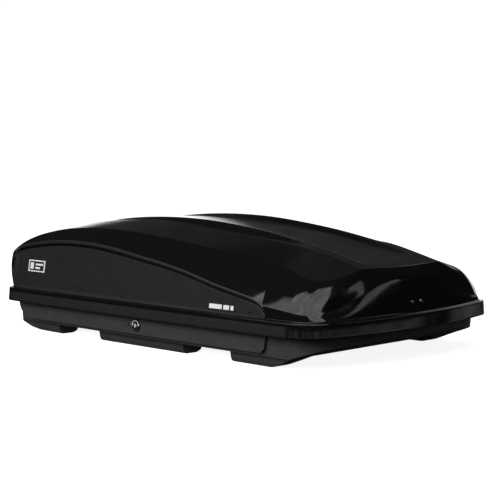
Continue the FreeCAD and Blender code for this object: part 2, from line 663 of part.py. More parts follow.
def make_u_bolt(end, side, station, across):
    """A round bar bent to a U with square shoulders, open at the top."""
    name = (end + "_" + side).title().replace("_", "")
    path = doc.addObject("Sketcher::SketchObject", name + "BoltPath")
    path.Placement = FreeCAD.Placement(Vector(station, across, 0),
                                       FreeCAD.Rotation(X_AXIS, 90))
    half = size["leg_half_spacing"]
    low = size["bolt_bottom"] + size["bolt_radius"]
    bend = size["bolt_bend"]
    top = size["bolt_top"]
    path.addGeometry(Part.LineSegment(Vector(-half, top, 0), Vector(-half, low + bend, 0)))
    path.addGeometry(Part.ArcOfCircle(
        Part.Circle(Vector(bend - half, low + bend, 0), Z_AXIS, bend), math.pi, 1.5 * math.pi))
    path.addGeometry(Part.LineSegment(Vector(bend - half, low, 0), Vector(half - bend, low, 0)))
    path.addGeometry(Part.ArcOfCircle(
        Part.Circle(Vector(half - bend, low + bend, 0), Z_AXIS, bend), 1.5 * math.pi,
        2 * math.pi))
    path.addGeometry(Part.LineSegment(Vector(half, low + bend, 0), Vector(half, top, 0)))
    section = doc.addObject("Sketcher::SketchObject", name + "BoltSection")
    section.Placement = FreeCAD.Placement(Vector(station - half, across, top),
                                          FreeCAD.Rotation())
    circle = section.addGeometry(Part.Circle(Vector(0, 0, 0), Z_AXIS, 4))
    number = section.addConstraint(Sketcher.Constraint("Radius", circle, 4))
    section.setExpression("Constraints[%d]" % number, "Sizes.bolt_radius")
    sweep = doc.addObject("Part::Sweep", name + "Bolt")
    sweep.Sections = [section]
    sweep.Spine = (path, ["Edge%d" % number for number in range(1, 6)])
    sweep.Solid = True
    sweep.Transition = "Right corner"
    return keep(sweep, "%s_%s_u_bolt" % (end, side))


def make_clamp_plate(end, side, sign):
    """A steel plate that spreads the pull of the two knobs over the rail."""
    name = (end + "_" + side).title().replace("_", "")
    body = new_body(name + "PlateBody")
    sketch = new_sketch(body, name + "PlateSection", "XY_Plane")
    length = "Sizes.plate_length / 2"
    width = "Sizes.plate_width / 2"
    chamfer = "Sizes.plate_chamfer"
    draw_outline(sketch, (
        ("-(%s) + %s" % (length, chamfer), "-(%s)" % width),
        ("%s - %s" % (length, chamfer), "-(%s)" % width),
        (length, "-(%s) + %s" % (width, chamfer)), (length, "%s - %s" % (width, chamfer)),
        ("%s - %s" % (length, chamfer), width), ("-(%s) + %s" % (length, chamfer), width),
        ("-(%s)" % length, "%s - %s" % (width, chamfer)),
        ("-(%s)" % length, "-(%s) + %s" % (width, chamfer))))
    for step in (-1, 1):
        draw_circle(sketch, "%d * Sizes.leg_half_spacing" % step, 0, "Sizes.bolt_radius")
    add_pad(body, sketch, name + "PlatePad", "Sizes.plate_thickness")
    place(body, "Sizes.%s_clamp_station" % end, "%d * Sizes.clamp_side" % sign,
          "Sizes.plate_bottom")
    return keep(body, "%s_%s_clamp_plate" % (end, side))


def make_knob(end, side, sign, leg, step):
    """A five-lobed hand knob, threaded on one leg of a U-bolt."""
    name = (end + "_" + side + "_" + leg).title().replace("_", "")
    body = new_body(name + "KnobBody")
    sketch = new_sketch(body, name + "KnobSection", "XZ_Plane")
    bore = "Sizes.bolt_radius + Sizes.pin_clearance"
    outer = "Sizes.knob_radius - 3"
    draw_outline(sketch, (
        (bore, 0), ("Sizes.knob_hub_radius", 0), ("Sizes.knob_hub_radius + 1", "6"),
        (outer, "Sizes.knob_hub_height"),
        (outer, "Sizes.knob_height - 2"), (outer + " - 3", "Sizes.knob_height"),
        (bore, "Sizes.knob_height")))
    add_revolution(body, sketch, name + "KnobTurning", "Z_Axis")
    doc.recompute()
    lobe = new_sketch(body, name + "KnobLobe", "XY_Plane")
    draw_circle(lobe, "Sizes.knob_radius - Sizes.lobe_radius", 0, "Sizes.lobe_radius")
    lobe.AttachmentOffset = FreeCAD.Placement(Vector(0, 0, size["knob_hub_height"]),
                                              FreeCAD.Rotation())
    add_pad(body, lobe, name + "KnobLobePad", "Sizes.knob_height - Sizes.knob_hub_height - 2")
    doc.recompute()
    pattern = body.newObject("PartDesign::PolarPattern", name + "KnobLobes")
    pattern.Originals = [body.getObject(name + "KnobLobePad")]
    pattern.Axis = (origin_plane(body, "Z_Axis"), [""])
    pattern.Angle = 360
    pattern.setExpression("Occurrences", "Sizes.knob_lobes")
    body.Tip = pattern
    place(body, "Sizes.%s_clamp_station + %d * Sizes.leg_half_spacing" % (end, step),
          "%d * Sizes.clamp_side" % sign, "Sizes.knob_bottom")
    return keep(body, "%s_%s_%s_knob" % (end, side, leg))


for clamp_end, clamp_side, clamp_station, clamp_across in CLAMPS:
    clamp_sign = 1 if clamp_across > 0 else -1
    make_u_bolt(clamp_end, clamp_side, clamp_station, clamp_across)
    make_clamp_plate(clamp_end, clamp_side, clamp_sign)
    make_knob(clamp_end, clamp_side, clamp_sign, "aft", -1)
    make_knob(clamp_end, clamp_side, clamp_sign, "fore", 1)


# ---------------------------------------------------------------- hinges

HINGES = (("rear", "-Sizes.hinge_spread", -size["hinge_spread"]), ("middle", "0", 0),
          ("front", "Sizes.hinge_spread", size["hinge_spread"]))
lid_skirt_hollow = add_shape("LidSkirtHollow", rim_block(
    size["lid_wall"], size["lip_bottom"] - 1, size["lip_flare"] + size["lid_wall"],
    size["ledge_top"] - size["lid_wall"]))
skirt_moved_in = moved_copy("SkirtMovedIn", lid_skirt_hollow, 0, -size["leaf_gauge"], 0)
hinge_pins = []
hinge_rivets = []
leaf_rivets = []
for hinge, station, hinge_x in HINGES:
    name = hinge.title()
    # fixed leaf: plate on the band, one knuckle at each end
    leaf_start = station + " - Sizes.leaf_length / 2"
    plate = add_box(name + "BaseLeafPlate", "Sizes.leaf_length", "Sizes.base_leaf_thickness",
                    "Sizes.base_leaf_height", leaf_start, "Sizes.base_leaf_side",
                    "Sizes.base_leaf_bottom")
    webs = []
    for step in (-1, 1):
        start = "%s + %s" % (station, "Sizes.lid_knuckle / 2 + Sizes.knuckle_gap" if step > 0
                             else "-Sizes.lid_knuckle / 2 - Sizes.knuckle_gap"
                                  " - Sizes.base_knuckle")
        knuckle = add_cylinder("%sBaseKnuckle%d" % (name, step + 2), "Sizes.knuckle_radius",
                               "Sizes.base_knuckle", start, "Sizes.hinge_side",
                               "Sizes.hinge_height", X_AXIS)
        web = add_box("%sBaseWeb%d" % (name, step + 2), "Sizes.base_knuckle",
                      "Sizes.hinge_side - Sizes.base_leaf_side", "Sizes.web_thickness", start,
                      "Sizes.base_leaf_side", "Sizes.hinge_height - Sizes.knuckle_radius")
        webs += [knuckle, web]
    solid = add_fuse(name + "BaseLeafSolid", plate, *webs)
    bore = add_cylinder(name + "BaseBore", "Sizes.pin_radius + Sizes.pin_clearance", 60,
                        station + " - 30", "Sizes.hinge_side", "Sizes.hinge_height", X_AXIS)
    keep(add_cut(name + "BaseLeaf", solid, bore, outside_of_tray), hinge + "_hinge_base_leaf")
    # moving leaf: plate inside the lip, one knuckle in the middle
    sheet_box = add_box(name + "LidLeafBox", "Sizes.leaf_length", 20, "Sizes.lid_leaf_height",
                        leaf_start, "Sizes.hinge_side + 2.5", "Sizes.lid_leaf_bottom")
    leaf_sheet = add_cut(name + "LidLeafSheet",
                         add_common(name + "LidLeafIn", sheet_box, lid_skirt_hollow),
                         skirt_moved_in)
    knuckle = add_cylinder(name + "LidKnuckle", "Sizes.knuckle_radius", "Sizes.lid_knuckle",
                           station + " - Sizes.lid_knuckle / 2", "Sizes.hinge_side",
                           "Sizes.hinge_height", X_AXIS)
    arm = add_box(name + "LidArm", "Sizes.lid_knuckle", 30, "Sizes.arm_thickness",
                  station + " - Sizes.lid_knuckle / 2", "Sizes.hinge_side",
                  "Sizes.hinge_height - Sizes.arm_thickness / 2")
    arm_in = add_common(name + "LidArmIn", arm, lid_skirt_hollow)
    solid = add_fuse(name + "LidLeafSolid", leaf_sheet, knuckle, arm_in)
    bore = add_cylinder(name + "LidBore", "Sizes.pin_radius + Sizes.pin_clearance", 60,
                        station + " - 30", "Sizes.hinge_side", "Sizes.hinge_height", X_AXIS)
    keep(add_cut(name + "LidLeaf", solid, bore), hinge + "_hinge_lid_leaf")
    # pin with a head at each end
    shaft = add_cylinder(name + "PinShaft", "Sizes.pin_radius", "Sizes.leaf_length",
                         leaf_start, "Sizes.hinge_side", "Sizes.hinge_height", X_AXIS)
    heads = [add_cylinder("%sPinHead%d" % (name, number), "Sizes.pin_head_radius",
                          "Sizes.pin_head_height", station + offset,
                          "Sizes.hinge_side", "Sizes.hinge_height", X_AXIS)
             for number, offset in enumerate((" - 26.2", " + 24.8"))]
    hinge_pins.append(add_fuse(name + "Pin", shaft, *heads))
    for step in (-1, 1):
        tag = "%s%s" % (name, "Aft" if step < 0 else "Fore")
        rivet_place = "%s + %d * Sizes.leaf_rivet_half_pitch" % (hinge_x, step)
        hinge_rivets.append(add_cylinder(
            tag + "BaseRivet", "Sizes.leaf_rivet_radius", "Sizes.leaf_rivet_head", rivet_place,
            "Sizes.base_leaf_side + Sizes.base_leaf_thickness", "Sizes.base_rivet_height",
            Y_AXIS))
        lip = add_cylinder(tag + "LipRivet", "Sizes.leaf_rivet_radius", 12, rivet_place,
                           "Sizes.hinge_side + 0.5", "Sizes.lip_rivet_height", Y_AXIS)
        lip_in = add_common(tag + "LipRivetIn", lip, skirt_moved_in)
        head_gauge = moved_copy(tag + "HeadGauge", skirt_moved_in, 0, -1.5, 0)
        leaf_rivets.append(add_cut(tag + "LipRivetHead", lip_in, head_gauge))
keep(add_group("HingePins", hinge_pins), "hinge_pins")
keep(add_group("HingeBaseRivets", hinge_rivets), "hinge_base_rivets")
keep(add_group("HingeLidRivets", leaf_rivets), "hinge_lid_rivets")


# ---------------------------------------------------------------- lock

def at_lock(x, y, z):
    return ("Sizes.lock_station + %s" % x, y, "Sizes.lock_height + %s" % z)


bezel_disc = add_cylinder("BezelDisc", "Sizes.bezel_radius", "Sizes.bezel_depth",
                          *at_lock(0, "-Sizes.bezel_face", 0), Y_AXIS)
bezel_rim = doc.addObject("Part::Chamfer", "BezelRim")
bezel_rim.Base = bezel_disc
doc.recompute()
front_edge = next(index for index, edge in enumerate(bezel_disc.Shape.Edges, start=1)
                  if edge.Closed and abs(edge.BoundBox.YMax + size["bezel_face"]) < 0.01)
bezel_rim.Edges = [(front_edge, 1.2, 1.2)]
bezel_bore = add_cylinder("BezelBore", "Sizes.barrel_radius + 0.3", 20, *at_lock(0, -410, 0),
                          Y_AXIS)
keep(add_cut("LockBezel", bezel_rim, bezel_bore, outside_of_tray), "lock_bezel")

housing_block = add_box("HousingBlock", "Sizes.housing_length", 14, "Sizes.housing_height",
                        *at_lock("(-Sizes.housing_length / 2)", "-396.5", -24))
housing_bore = add_cylinder("HousingBore", "Sizes.barrel_radius + Sizes.pin_clearance", 40,
                            *at_lock(0, -410, 0), Y_AXIS)
housing_in = add_common("HousingIn", housing_block, hollow_of_tray)
keep(add_cut("LockHousing", housing_in, housing_bore), "lock_housing")

barrel_core = add_cylinder("BarrelCore", "Sizes.barrel_radius", "Sizes.barrel_length",
                           *at_lock(0, "-Sizes.barrel_face", 0), Y_AXIS)
key_slot = add_box("KeySlot", "Sizes.key_slot_width", 8, "Sizes.key_slot_height",
                   *at_lock("(-Sizes.key_slot_width / 2)", "-Sizes.barrel_face - 0.7",
                            "(-Sizes.key_slot_height / 2)"))
keep(add_cut("KeyBarrel", barrel_core, key_slot), "key_barrel")

# the cam stands 45 degrees off upright at rest, so that its peg pulls the bar evenly
cam_face = "-Sizes.cam_face"
half_arm = "Sizes.cam_arm_width / 2 * cos(45 deg)"
peg_offset = "Sizes.crank_radius * cos(45 deg)"
cam_hub = add_cylinder("CamHub", "Sizes.cam_hub_radius", "Sizes.cam_gauge",
                       *at_lock(0, cam_face, 0), Y_AXIS)
cam_arm = add_box("CamArm", "Sizes.cam_arm_width", "Sizes.cam_gauge", "Sizes.crank_radius",
                  *at_lock(0, cam_face, 0))
cam_arm.Placement.Rotation = FreeCAD.Rotation(Y_AXIS, 45)
place(cam_arm, "Sizes.lock_station - " + half_arm, cam_face, "Sizes.lock_height + " + half_arm)
cam_end = add_cylinder("CamEnd", "Sizes.cam_arm_width / 2", "Sizes.cam_gauge",
                       *at_lock(peg_offset, cam_face, peg_offset), Y_AXIS)
cam_peg = add_cylinder("CamPeg", "Sizes.peg_radius", "Sizes.peg_length",
                       *at_lock(peg_offset, cam_face, peg_offset), Y_AXIS)
keep(add_fuse("LockCam", cam_hub, cam_arm, cam_end, cam_peg), "lock_cam")

bar_strip = add_box("BarStrip", "Sizes.bar_front - Sizes.bar_rear", "Sizes.bar_gauge",
                    "Sizes.bar_top - Sizes.bar_bottom", "Sizes.bar_rear", "-Sizes.bar_side",
                    "Sizes.bar_bottom")
bar_tab = add_box("BarTab", "Sizes.tab_width", "Sizes.bar_gauge", "Sizes.tab_drop + 1",
                  "Sizes.lock_station + %s - Sizes.tab_width / 2" % peg_offset,
                  "-Sizes.bar_side", "Sizes.bar_bottom - Sizes.tab_drop")
tab_slot = add_box("TabSlot", "Sizes.tab_slot_width", 6, "Sizes.tab_slot_height",
                   "Sizes.lock_station + %s - Sizes.tab_slot_width / 2" % peg_offset,
                   "-Sizes.bar_side - 1", "Sizes.lock_height + 4.6")
lock_pins = [add_cylinder(end.title() + "LockPin", "Sizes.lock_pin_radius",
                          "Sizes.lock_pin_length",
                          "Sizes.%s_striker + Sizes.striker_width / 2 + 5" % end,
                          "-Sizes.bar_side - 6", "Sizes.lock_pin_height", Y_AXIS)
             for end in ("rear", "middle", "front")]
keep(add_cut("LockBar", add_fuse("BarSolid", bar_strip, bar_tab), tab_slot, *lock_pins),
     "lock_bar")
keep(add_group("LockPins", lock_pins), "lock_pins")

GUIDE_STATIONS = (-430, -230, 130, 300)
guides = []
for number, station in enumerate(GUIDE_STATIONS, start=1):
    start = "%d - Sizes.guide_length / 2" % station
    block = add_box("GuideBlock%d" % number, "Sizes.guide_length", 40, "Sizes.guide_height",
                    start, -405, "Sizes.guide_bottom")
    lip = add_box("GuideLip%d" % number, "Sizes.guide_length", 60, "Sizes.guide_height",
                  start, "-Sizes.bar_side + 7", "Sizes.guide_bottom")
    passage = add_box("GuidePassage%d" % number, "Sizes.guide_length + 2",
                      "Sizes.bar_gauge + 2 * Sizes.slide_clearance",
                      "Sizes.bar_top - Sizes.bar_bottom + 2 * Sizes.slide_clearance",
                      start + " - 1", "-Sizes.bar_side - Sizes.slide_clearance",
                      "Sizes.bar_bottom - Sizes.slide_clearance")
    inside = add_common("GuideIn%d" % number, block, hollow_of_tray)
    guides.append(add_cut("Guide%d" % number, inside, lip, passage))
keep(add_group("LockBarGuides", guides), "lock_bar_guides")

cover_outer = add_box("CoverOuter", "Sizes.cover_length", 60, "Sizes.cover_height",
                      *at_lock("(-Sizes.cover_length / 2)", -422, -28))
cover_in = add_common("CoverIn", cover_outer, hollow_of_tray)
cover_inner = add_box("CoverInner", "Sizes.cover_length - 2 * Sizes.cover_wall",
                      "60 - Sizes.cover_wall", "Sizes.cover_height - 2 * Sizes.cover_wall",
                      *at_lock("(Sizes.cover_wall - Sizes.cover_length / 2)", -422,
                               "(Sizes.cover_wall - 28)"))
cover_passage = add_box("CoverPassage", 42, 8, 10, *at_lock(-22, -378, 18))
keep(add_cut("LockCover", cover_in, cover_inner, cover_passage), "lock_cover")

screw_head = add_cylinder("ScrewHead", "Sizes.screw_radius", 5,
                          *at_lock("Sizes.screw_offset", -400.2, 0), Y_AXIS)
keep(add_cut("LockScrew", screw_head, outside_of_tray), "lock_screw")

# ---------------------------------------------------------------- strikers on the lid

gauge_on_wall = moved_copy("GaugeOnWall", hollow_of_lid, 0, size["striker_gauge"], 0)
striker_rivets = []
for end in ("rear", "middle", "front"):
    name = end.title()
    station = "Sizes.%s_striker" % end
    left_end = station + " - Sizes.striker_width / 2"
    back = add_box(name + "StrikerBack", "Sizes.striker_leaf_length", 40,
                   "Sizes.striker_leaf_height", station + " - Sizes.striker_leaf_length / 2",
                   -420, "Sizes.striker_leaf_bottom")
    back_sheet = add_cut(name + "StrikerSheet",
                         add_common(name + "StrikerIn", back, hollow_of_lid), gauge_on_wall)
    shelf = add_box(name + "StrikerShelf", "Sizes.striker_width", 60, "Sizes.striker_gauge",
                    left_end, -435.5, "Sizes.striker_leaf_bottom")
    shelf_in = add_common(name + "StrikerShelfIn", shelf, hollow_of_lid)
    tongue = add_box(name + "StrikerTongue", "Sizes.striker_width", "Sizes.striker_gauge",
                     "Sizes.tongue_height", left_end, "-Sizes.tongue_side",
                     "Sizes.tongue_bottom")
    notch = add_box(name + "StrikerNotch", "Sizes.notch_length", 10, "Sizes.notch_height",
                    station + " + Sizes.striker_width / 2 - Sizes.notch_length + 1",
                    "-Sizes.tongue_side - 4", "Sizes.notch_bottom")
    keep(add_cut(name + "Striker", add_fuse(name + "StrikerSolid", back_sheet, shelf_in, tongue),
                 notch), end + "_striker")
    for step in (-1, 1):
        tag = name + ("Aft" if step < 0 else "Fore")
        stem = add_cylinder(tag + "RivetHead", "Sizes.striker_rivet_radius", 12,
                            "%s + %d * Sizes.rivet_half_pitch" % (station, step), -412,
                            "Sizes.rivet_height", Y_AXIS)
        domed = add_cut(tag + "RivetOut", stem, add_shape(tag + "LidOutside", lid_outside))
        skin = lid_outside.copy()
        skin.translate(Vector(0, -size["striker_rivet_head"], 0))
        striker_rivets.append(add_common(tag + "Rivet", domed, add_shape(tag + "Skin", skin)))
keep(add_group("StrikerRivets", striker_rivets), "striker_rivets")

# ---------------------------------------------------------------- nose guide

nose_gauge = moved_copy("NoseGauge", hollow_of_lid, -size["nose_gauge"], 0, 0)
nose_back = add_box("NoseBack", 80, "Sizes.nose_leaf_width", "Sizes.nose_leaf_height",
                    "Sizes.nose_leaf_rear", "-Sizes.nose_leaf_width / 2",
                    "Sizes.nose_leaf_bottom")
nose_sheet = add_cut("NoseSheet", add_common("NoseIn", nose_back, hollow_of_lid), nose_gauge)
tongue_edge = "-Sizes.nose_tongue_width / 2"
nose_shelf = add_common(
    "NoseShelfIn", add_box("NoseShelf", 80, "Sizes.nose_tongue_width", "Sizes.nose_gauge",
                           "Sizes.nose_tongue_station", tongue_edge, "Sizes.nose_leaf_bottom"),
    hollow_of_lid)
nose_tongue = add_box("NoseTongue", "Sizes.nose_gauge", "Sizes.nose_tongue_width",
                      "Sizes.nose_leaf_bottom - Sizes.nose_tongue_bottom + 2",
                      "Sizes.nose_tongue_station", tongue_edge, "Sizes.nose_tongue_bottom")
keep(add_fuse("NoseGuideTongue", nose_sheet, nose_shelf, nose_tongue), "nose_guide_tongue")
socket_outer = add_box("SocketOuter", 80, "Sizes.socket_width", "Sizes.socket_height",
                       "Sizes.socket_rear", "-Sizes.socket_width / 2", "Sizes.socket_bottom")
socket_block = add_common("SocketBlock", socket_outer, hollow_of_tray)
socket_slot = add_box("SocketSlot", "Sizes.socket_slot_length", "Sizes.socket_slot_width", 60,
                      "Sizes.socket_slot_rear", "-Sizes.socket_slot_width / 2",
                      "Sizes.socket_slot_bottom")
keep(add_cut("NoseGuideSocket", socket_block, socket_slot), "nose_guide_socket")
nose_skin = lid_outside.copy()
nose_skin.translate(Vector(size["nose_rivet_head"], 0, 0))
nose_rivets = []
for step in (-1, 1):
    tag = "NoseRivetRight" if step < 0 else "NoseRivetLeft"
    stem = add_cylinder(tag + "Stem", "Sizes.nose_rivet_radius", 30, 672,
                        "%d * Sizes.nose_rivet_half_pitch" % step, "Sizes.nose_rivet_height",
                        X_AXIS)
    domed = add_cut(tag + "Out", stem, add_shape(tag + "LidOutside", lid_outside))
    nose_rivets.append(add_common(tag, domed, add_shape(tag + "Skin", nose_skin)))
keep(add_group("NoseRivets", nose_rivets), "nose_rivets")

# ---------------------------------------------------------------- lid stiffeners

for end in ("rear", "front"):
    name = end.title()
    station = "Sizes.%s_bow_station" % end
    strip = add_box(name + "BowStrip", "Sizes.bow_width", "Sizes.bow_span", 250,
                    station + " - Sizes.bow_width / 2", "-Sizes.bow_span / 2", 180)
    under = moved_copy(name + "BowUnder", hollow_of_lid, 0, 0, -size["bow_depth"])
    bow = add_cut(name + "BowSolid", add_common(name + "BowIn", strip, hollow_of_lid), under)
    core = add_box(name + "BowCore", "Sizes.bow_width - 2 * Sizes.bow_gauge",
                   "Sizes.bow_span + 20", 250,
                   station + " - Sizes.bow_width / 2 + Sizes.bow_gauge",
                   "-Sizes.bow_span / 2 - 10", 180)
    above = moved_copy(name + "BowAbove", hollow_of_lid, 0, 0,
                       size["bow_gauge"] - size["bow_depth"])
    keep(add_cut(name + "Bow", bow, add_cut(name + "BowHollow", core, above)),
         end + "_lid_stiffener")

# ---------------------------------------------------------------- gas struts

foot_point = (size["strut_foot_side"], size["strut_foot_height"])
head_point = (size["strut_head_side"], size["strut_head_height"])
strut_length = math.dist(foot_point, head_point)
strut_direction = Vector(0, head_point[0] - foot_point[0], head_point[1] - foot_point[1])
strut_direction.normalize()
STRUT_SLACK = 6.5
TUBE_START = 13
TUBE_END = strut_length - 22


def on_strut(distance):
    """A point of the strut's axis, at a distance from its foot, as (y, z)."""
    return (foot_point[0] + distance * strut_direction.y,
            foot_point[1] + distance * strut_direction.z)


def strut_rod(name, radius, station, start, end):
    y, z = on_strut(start)
    return add_cylinder(name, radius, end - start, station, y, z, strut_direction)


def strut_bar(name, station, width, thickness, start, end):
    """A square bar along the strut's axis, centred on it."""
    item = doc.addObject("Part::Box", name)
    bind(item, Length=str(width), Width=str(thickness), Height=str(end - start))
    item.Placement.Rotation = FreeCAD.Rotation(Z_AXIS, strut_direction)
    y, z = on_strut(start)
    place(item, "%s - %s / 2" % (station, width), y - thickness / 2 * strut_direction.z,
          z + thickness / 2 * strut_direction.y)
    return item


roof_gauge = moved_copy("RoofGauge", hollow_of_lid, 0, 0, -size["bracket_gauge"])
for end in ("rear", "front"):
    name = end.title()
    station = "Sizes.%s_strut_station" % end
    # tube with an eye at its foot
    eye_start = station + " - Sizes.eye_width / 2"
    eye = add_cylinder(name + "TubeEye", "Sizes.eye_radius", "Sizes.eye_width", eye_start,
                       *foot_point, X_AXIS)
    neck = strut_rod(name + "TubeNeck", 4, station, 6, TUBE_START + 2)
    tube = strut_rod(name + "TubeOuter", "Sizes.tube_radius", station, TUBE_START, TUBE_END)
    eye_bore = add_cylinder(name + "TubeEyeBore", "Sizes.stud_radius + Sizes.pin_clearance",
                            "Sizes.eye_width + 2", eye_start + " - 1", *foot_point, X_AXIS)
    room = strut_rod(name + "TubeRoom", "Sizes.tube_radius - Sizes.tube_wall", station,
                     TUBE_START + 3, TUBE_END - 8)
    gland = strut_rod(name + "TubeGland", "Sizes.rod_radius + Sizes.pin_clearance", station,
                      TUBE_END - 10, TUBE_END + 2)
    keep(add_cut(name + "StrutTube", add_fuse(name + "TubeSolid", eye, neck, tube), eye_bore,
                 room, gland), end + "_strut_tube")
    # rod with a piston inside the tube and a long eye at its head
    piston = strut_rod(name + "Piston",
                       "Sizes.tube_radius - Sizes.tube_wall - Sizes.pin_clearance", station,
                       TUBE_START + 4, TUBE_START + 4 + size["piston_length"])
    rod = strut_rod(name + "RodShaft", "Sizes.rod_radius", station, TUBE_START + 6,
                    strut_length - 6)
    near_eye = add_cylinder(name + "RodEyeNear", "Sizes.eye_radius", "Sizes.eye_width",
                            eye_start, *head_point, X_AXIS)
    far_point = on_strut(strut_length + STRUT_SLACK)
    far_eye = add_cylinder(name + "RodEyeFar", "Sizes.eye_radius", "Sizes.eye_width",
                           eye_start, *far_point, X_AXIS)
    eye_end = strut_length + STRUT_SLACK
    middle = strut_bar(name + "RodEyeMiddle", station, size["eye_width"],
                       2 * size["eye_radius"], strut_length, eye_end)
    bores = [add_cylinder("%sRodBore%d" % (name, number),
                          "Sizes.stud_radius + Sizes.eye_clearance", "Sizes.eye_width + 2",
                          eye_start + " - 1", *point, X_AXIS)
             for number, point in enumerate((head_point, far_point))]
    bore_run = strut_bar(name + "RodBoreRun", station, size["eye_width"] + 2,
                         2 * (size["stud_radius"] + size["eye_clearance"]), strut_length,
                         eye_end)
    keep(add_cut(name + "StrutRod", add_fuse(name + "RodSolid", piston, rod, near_eye, far_eye,
                                             middle), *bores, bore_run), end + "_strut_rod")
    # bracket on the floor
    floor_top = "Sizes.floor_level + Sizes.tray_wall"
    bracket = station + " + Sizes.bracket_offset"
    foot_edge = "Sizes.strut_foot_side - Sizes.foot_ear_width / 2"
    ear = add_box(name + "FootEar", "Sizes.bracket_gauge", "Sizes.foot_ear_width",
                  "Sizes.foot_ear_height", bracket, foot_edge, floor_top)
    sole = add_box(name + "FootSole", "Sizes.foot_sole_length", "Sizes.foot_ear_width",
                   "Sizes.bracket_gauge", bracket, foot_edge, floor_top)
    stud = add_cylinder(name + "FootStud", "Sizes.stud_radius", "Sizes.stud_length",
                        eye_start + " - 1", *foot_point, X_AXIS)
    keep(add_fuse(name + "StrutFoot", ear, sole, stud), end + "_strut_base_bracket")
    # bracket under the roof
    bracket_low = "Sizes.strut_head_height - 10"
    ear_box = add_box(name + "HeadEar", "Sizes.bracket_gauge", "Sizes.head_ear_width", 140,
                      bracket, "Sizes.strut_head_side - Sizes.head_ear_width / 2", bracket_low)
    ear = add_common(name + "HeadEarIn", ear_box, hollow_of_lid)
    pad_box = add_box(name + "HeadPadBox", "Sizes.head_pad_length", "Sizes.head_pad_width", 140,
                      bracket, "Sizes.strut_head_side - Sizes.head_pad_width / 2", bracket_low)
    pad = add_cut(name + "HeadPad", add_common(name + "HeadPadIn", pad_box, hollow_of_lid),
                  roof_gauge)
    stud = add_cylinder(name + "HeadStud", "Sizes.stud_radius", "Sizes.stud_length",
                        eye_start + " - 1", *head_point, X_AXIS)
    keep(add_fuse(name + "StrutHead", ear, pad, stud), end + "_strut_lid_bracket")

# ---------------------------------------------------------------- check and write

doc.recompute()
failed = [item.Label for item in doc.Objects if {"Invalid", "Error"} & set(item.State)]
if failed:
    raise RuntimeError("failed to build: " + ", ".join(failed))
names = [item.Label for item in pieces]
assert len(set(names)) == len(names) <= 60
for item in pieces:
    if item.Shape.isNull() or not item.Shape.isValid() or not item.Shape.Solids:
        raise RuntimeError("%s has no valid solid" % item.Label)

os.makedirs("parts", exist_ok=True)
for item in pieces:
    item.Shape.exportStep(os.path.join("parts", item.Label + ".step"))
print(len(pieces), "sub-parts written")
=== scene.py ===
"""Looks of the roof cargo box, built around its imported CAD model.

Lengths in the tables and in the form functions are millimetres, as in the CAD source;
meshes and lights are made in metres. +X is the nose, +Y the hinge side, +Z up.
"""

import json
import math

import bmesh
import bpy
import numpy as np
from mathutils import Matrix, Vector


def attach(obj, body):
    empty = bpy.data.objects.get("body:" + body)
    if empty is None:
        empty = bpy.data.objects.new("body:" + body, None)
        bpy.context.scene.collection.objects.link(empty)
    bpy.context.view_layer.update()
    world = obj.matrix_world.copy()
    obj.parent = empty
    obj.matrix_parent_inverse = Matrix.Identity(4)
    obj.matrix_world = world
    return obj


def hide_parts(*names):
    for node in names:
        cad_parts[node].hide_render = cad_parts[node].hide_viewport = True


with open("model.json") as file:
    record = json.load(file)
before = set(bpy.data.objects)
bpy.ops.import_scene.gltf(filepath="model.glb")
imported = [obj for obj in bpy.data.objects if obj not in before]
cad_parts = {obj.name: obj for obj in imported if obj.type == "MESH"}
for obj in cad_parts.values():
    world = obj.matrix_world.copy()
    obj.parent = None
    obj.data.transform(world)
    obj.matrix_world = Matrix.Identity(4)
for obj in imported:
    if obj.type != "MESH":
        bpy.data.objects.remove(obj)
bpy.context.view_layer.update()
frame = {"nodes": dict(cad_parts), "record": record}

MM = 0.001
LENGTH, WIDTH = 1410, 850
SIDE_BOW, NOSE_BOW, REAR_BOW = 7, 60, 11
LEDGE, LEDGE_WIDTH = 137.5, 17
LID_WALL = 3.5

# How high each feature line of the lid runs, at stations along the box.
RIB_CREST = ((-705, 290), (-600, 326), (-450, 354), (-300, 369), (-150, 374.5), (0, 371),
             (150, 358), (300, 339), (450, 311), (640, 264))
SHOULDER_CREST = ((-705, 284), (-600, 311), (-450, 333), (-270, 340), (-100, 333), (100, 314.5),
                  (300, 287.5), (450, 267), (640, 228))
RIB_RISE = ((-500, 0), (-350, 7), (-150, 12), (50, 19), (200, 17), (350, 9), (470, 1), (640, 0))
VALLEY_DROP = ((-480, 0), (-350, 5), (-200, 10), (0, 14), (300, 14), (440, 12), (540, 6),
               (610, 0.5), (640, 0))
GROOVE = ((-700, 240), (-640, 257), (-577, 270), (-471, 283), (-370, 288), (-224, 284),
          (-39, 263), (133, 239), (295, 205), (412, 185), (448, 177), (471, 165), (481, 151),
          (487, 139))
# Where the wall gives way to the shoulder beyond the side panel's front end.
CORNER_TOP = ((380, 140), (420, 166), (448, 174), (487, 171), (540, 165), (620, 158))
BEAD_WIDTH = ((-700, 15), (-200, 15), (120, 12), (400, 10), (487, 3))
NOSE_EDGE = ((0, 238), (70, 236), (130, 227), (190, 209), (235, 190), (275, 173), (310, 162),
             (345, 157))
VALLEY_DISH, DISH_FADE = 3, 300
VALLEY_SIDE, RIB_SIDE, RIB_FOOT, SHOULDER = 100, 135, 170, 310
RIB_ROUNDING, FOOT_ROUNDING = 0.25, 0.3
PANEL_END = 487
NOSE_FACE_END = 345
NOSE_CREASE_END, NOSE_CREASE_FADE = 165, 100
REAR_WALL_TOP = 252

# The wall's draft in degrees, and how far it bulges at the rear and leans back at the nose.
SIDE_DRAFT, REAR_DRAFT = 9, 3
REAR_BULGE, CORNER_BULGE, NOSE_LEAN = 4, 6, 9
# How far under the wall's top its rounded edge starts, on the sides and at both ends.
SIDE_EDGE, END_EDGE = 3, 8
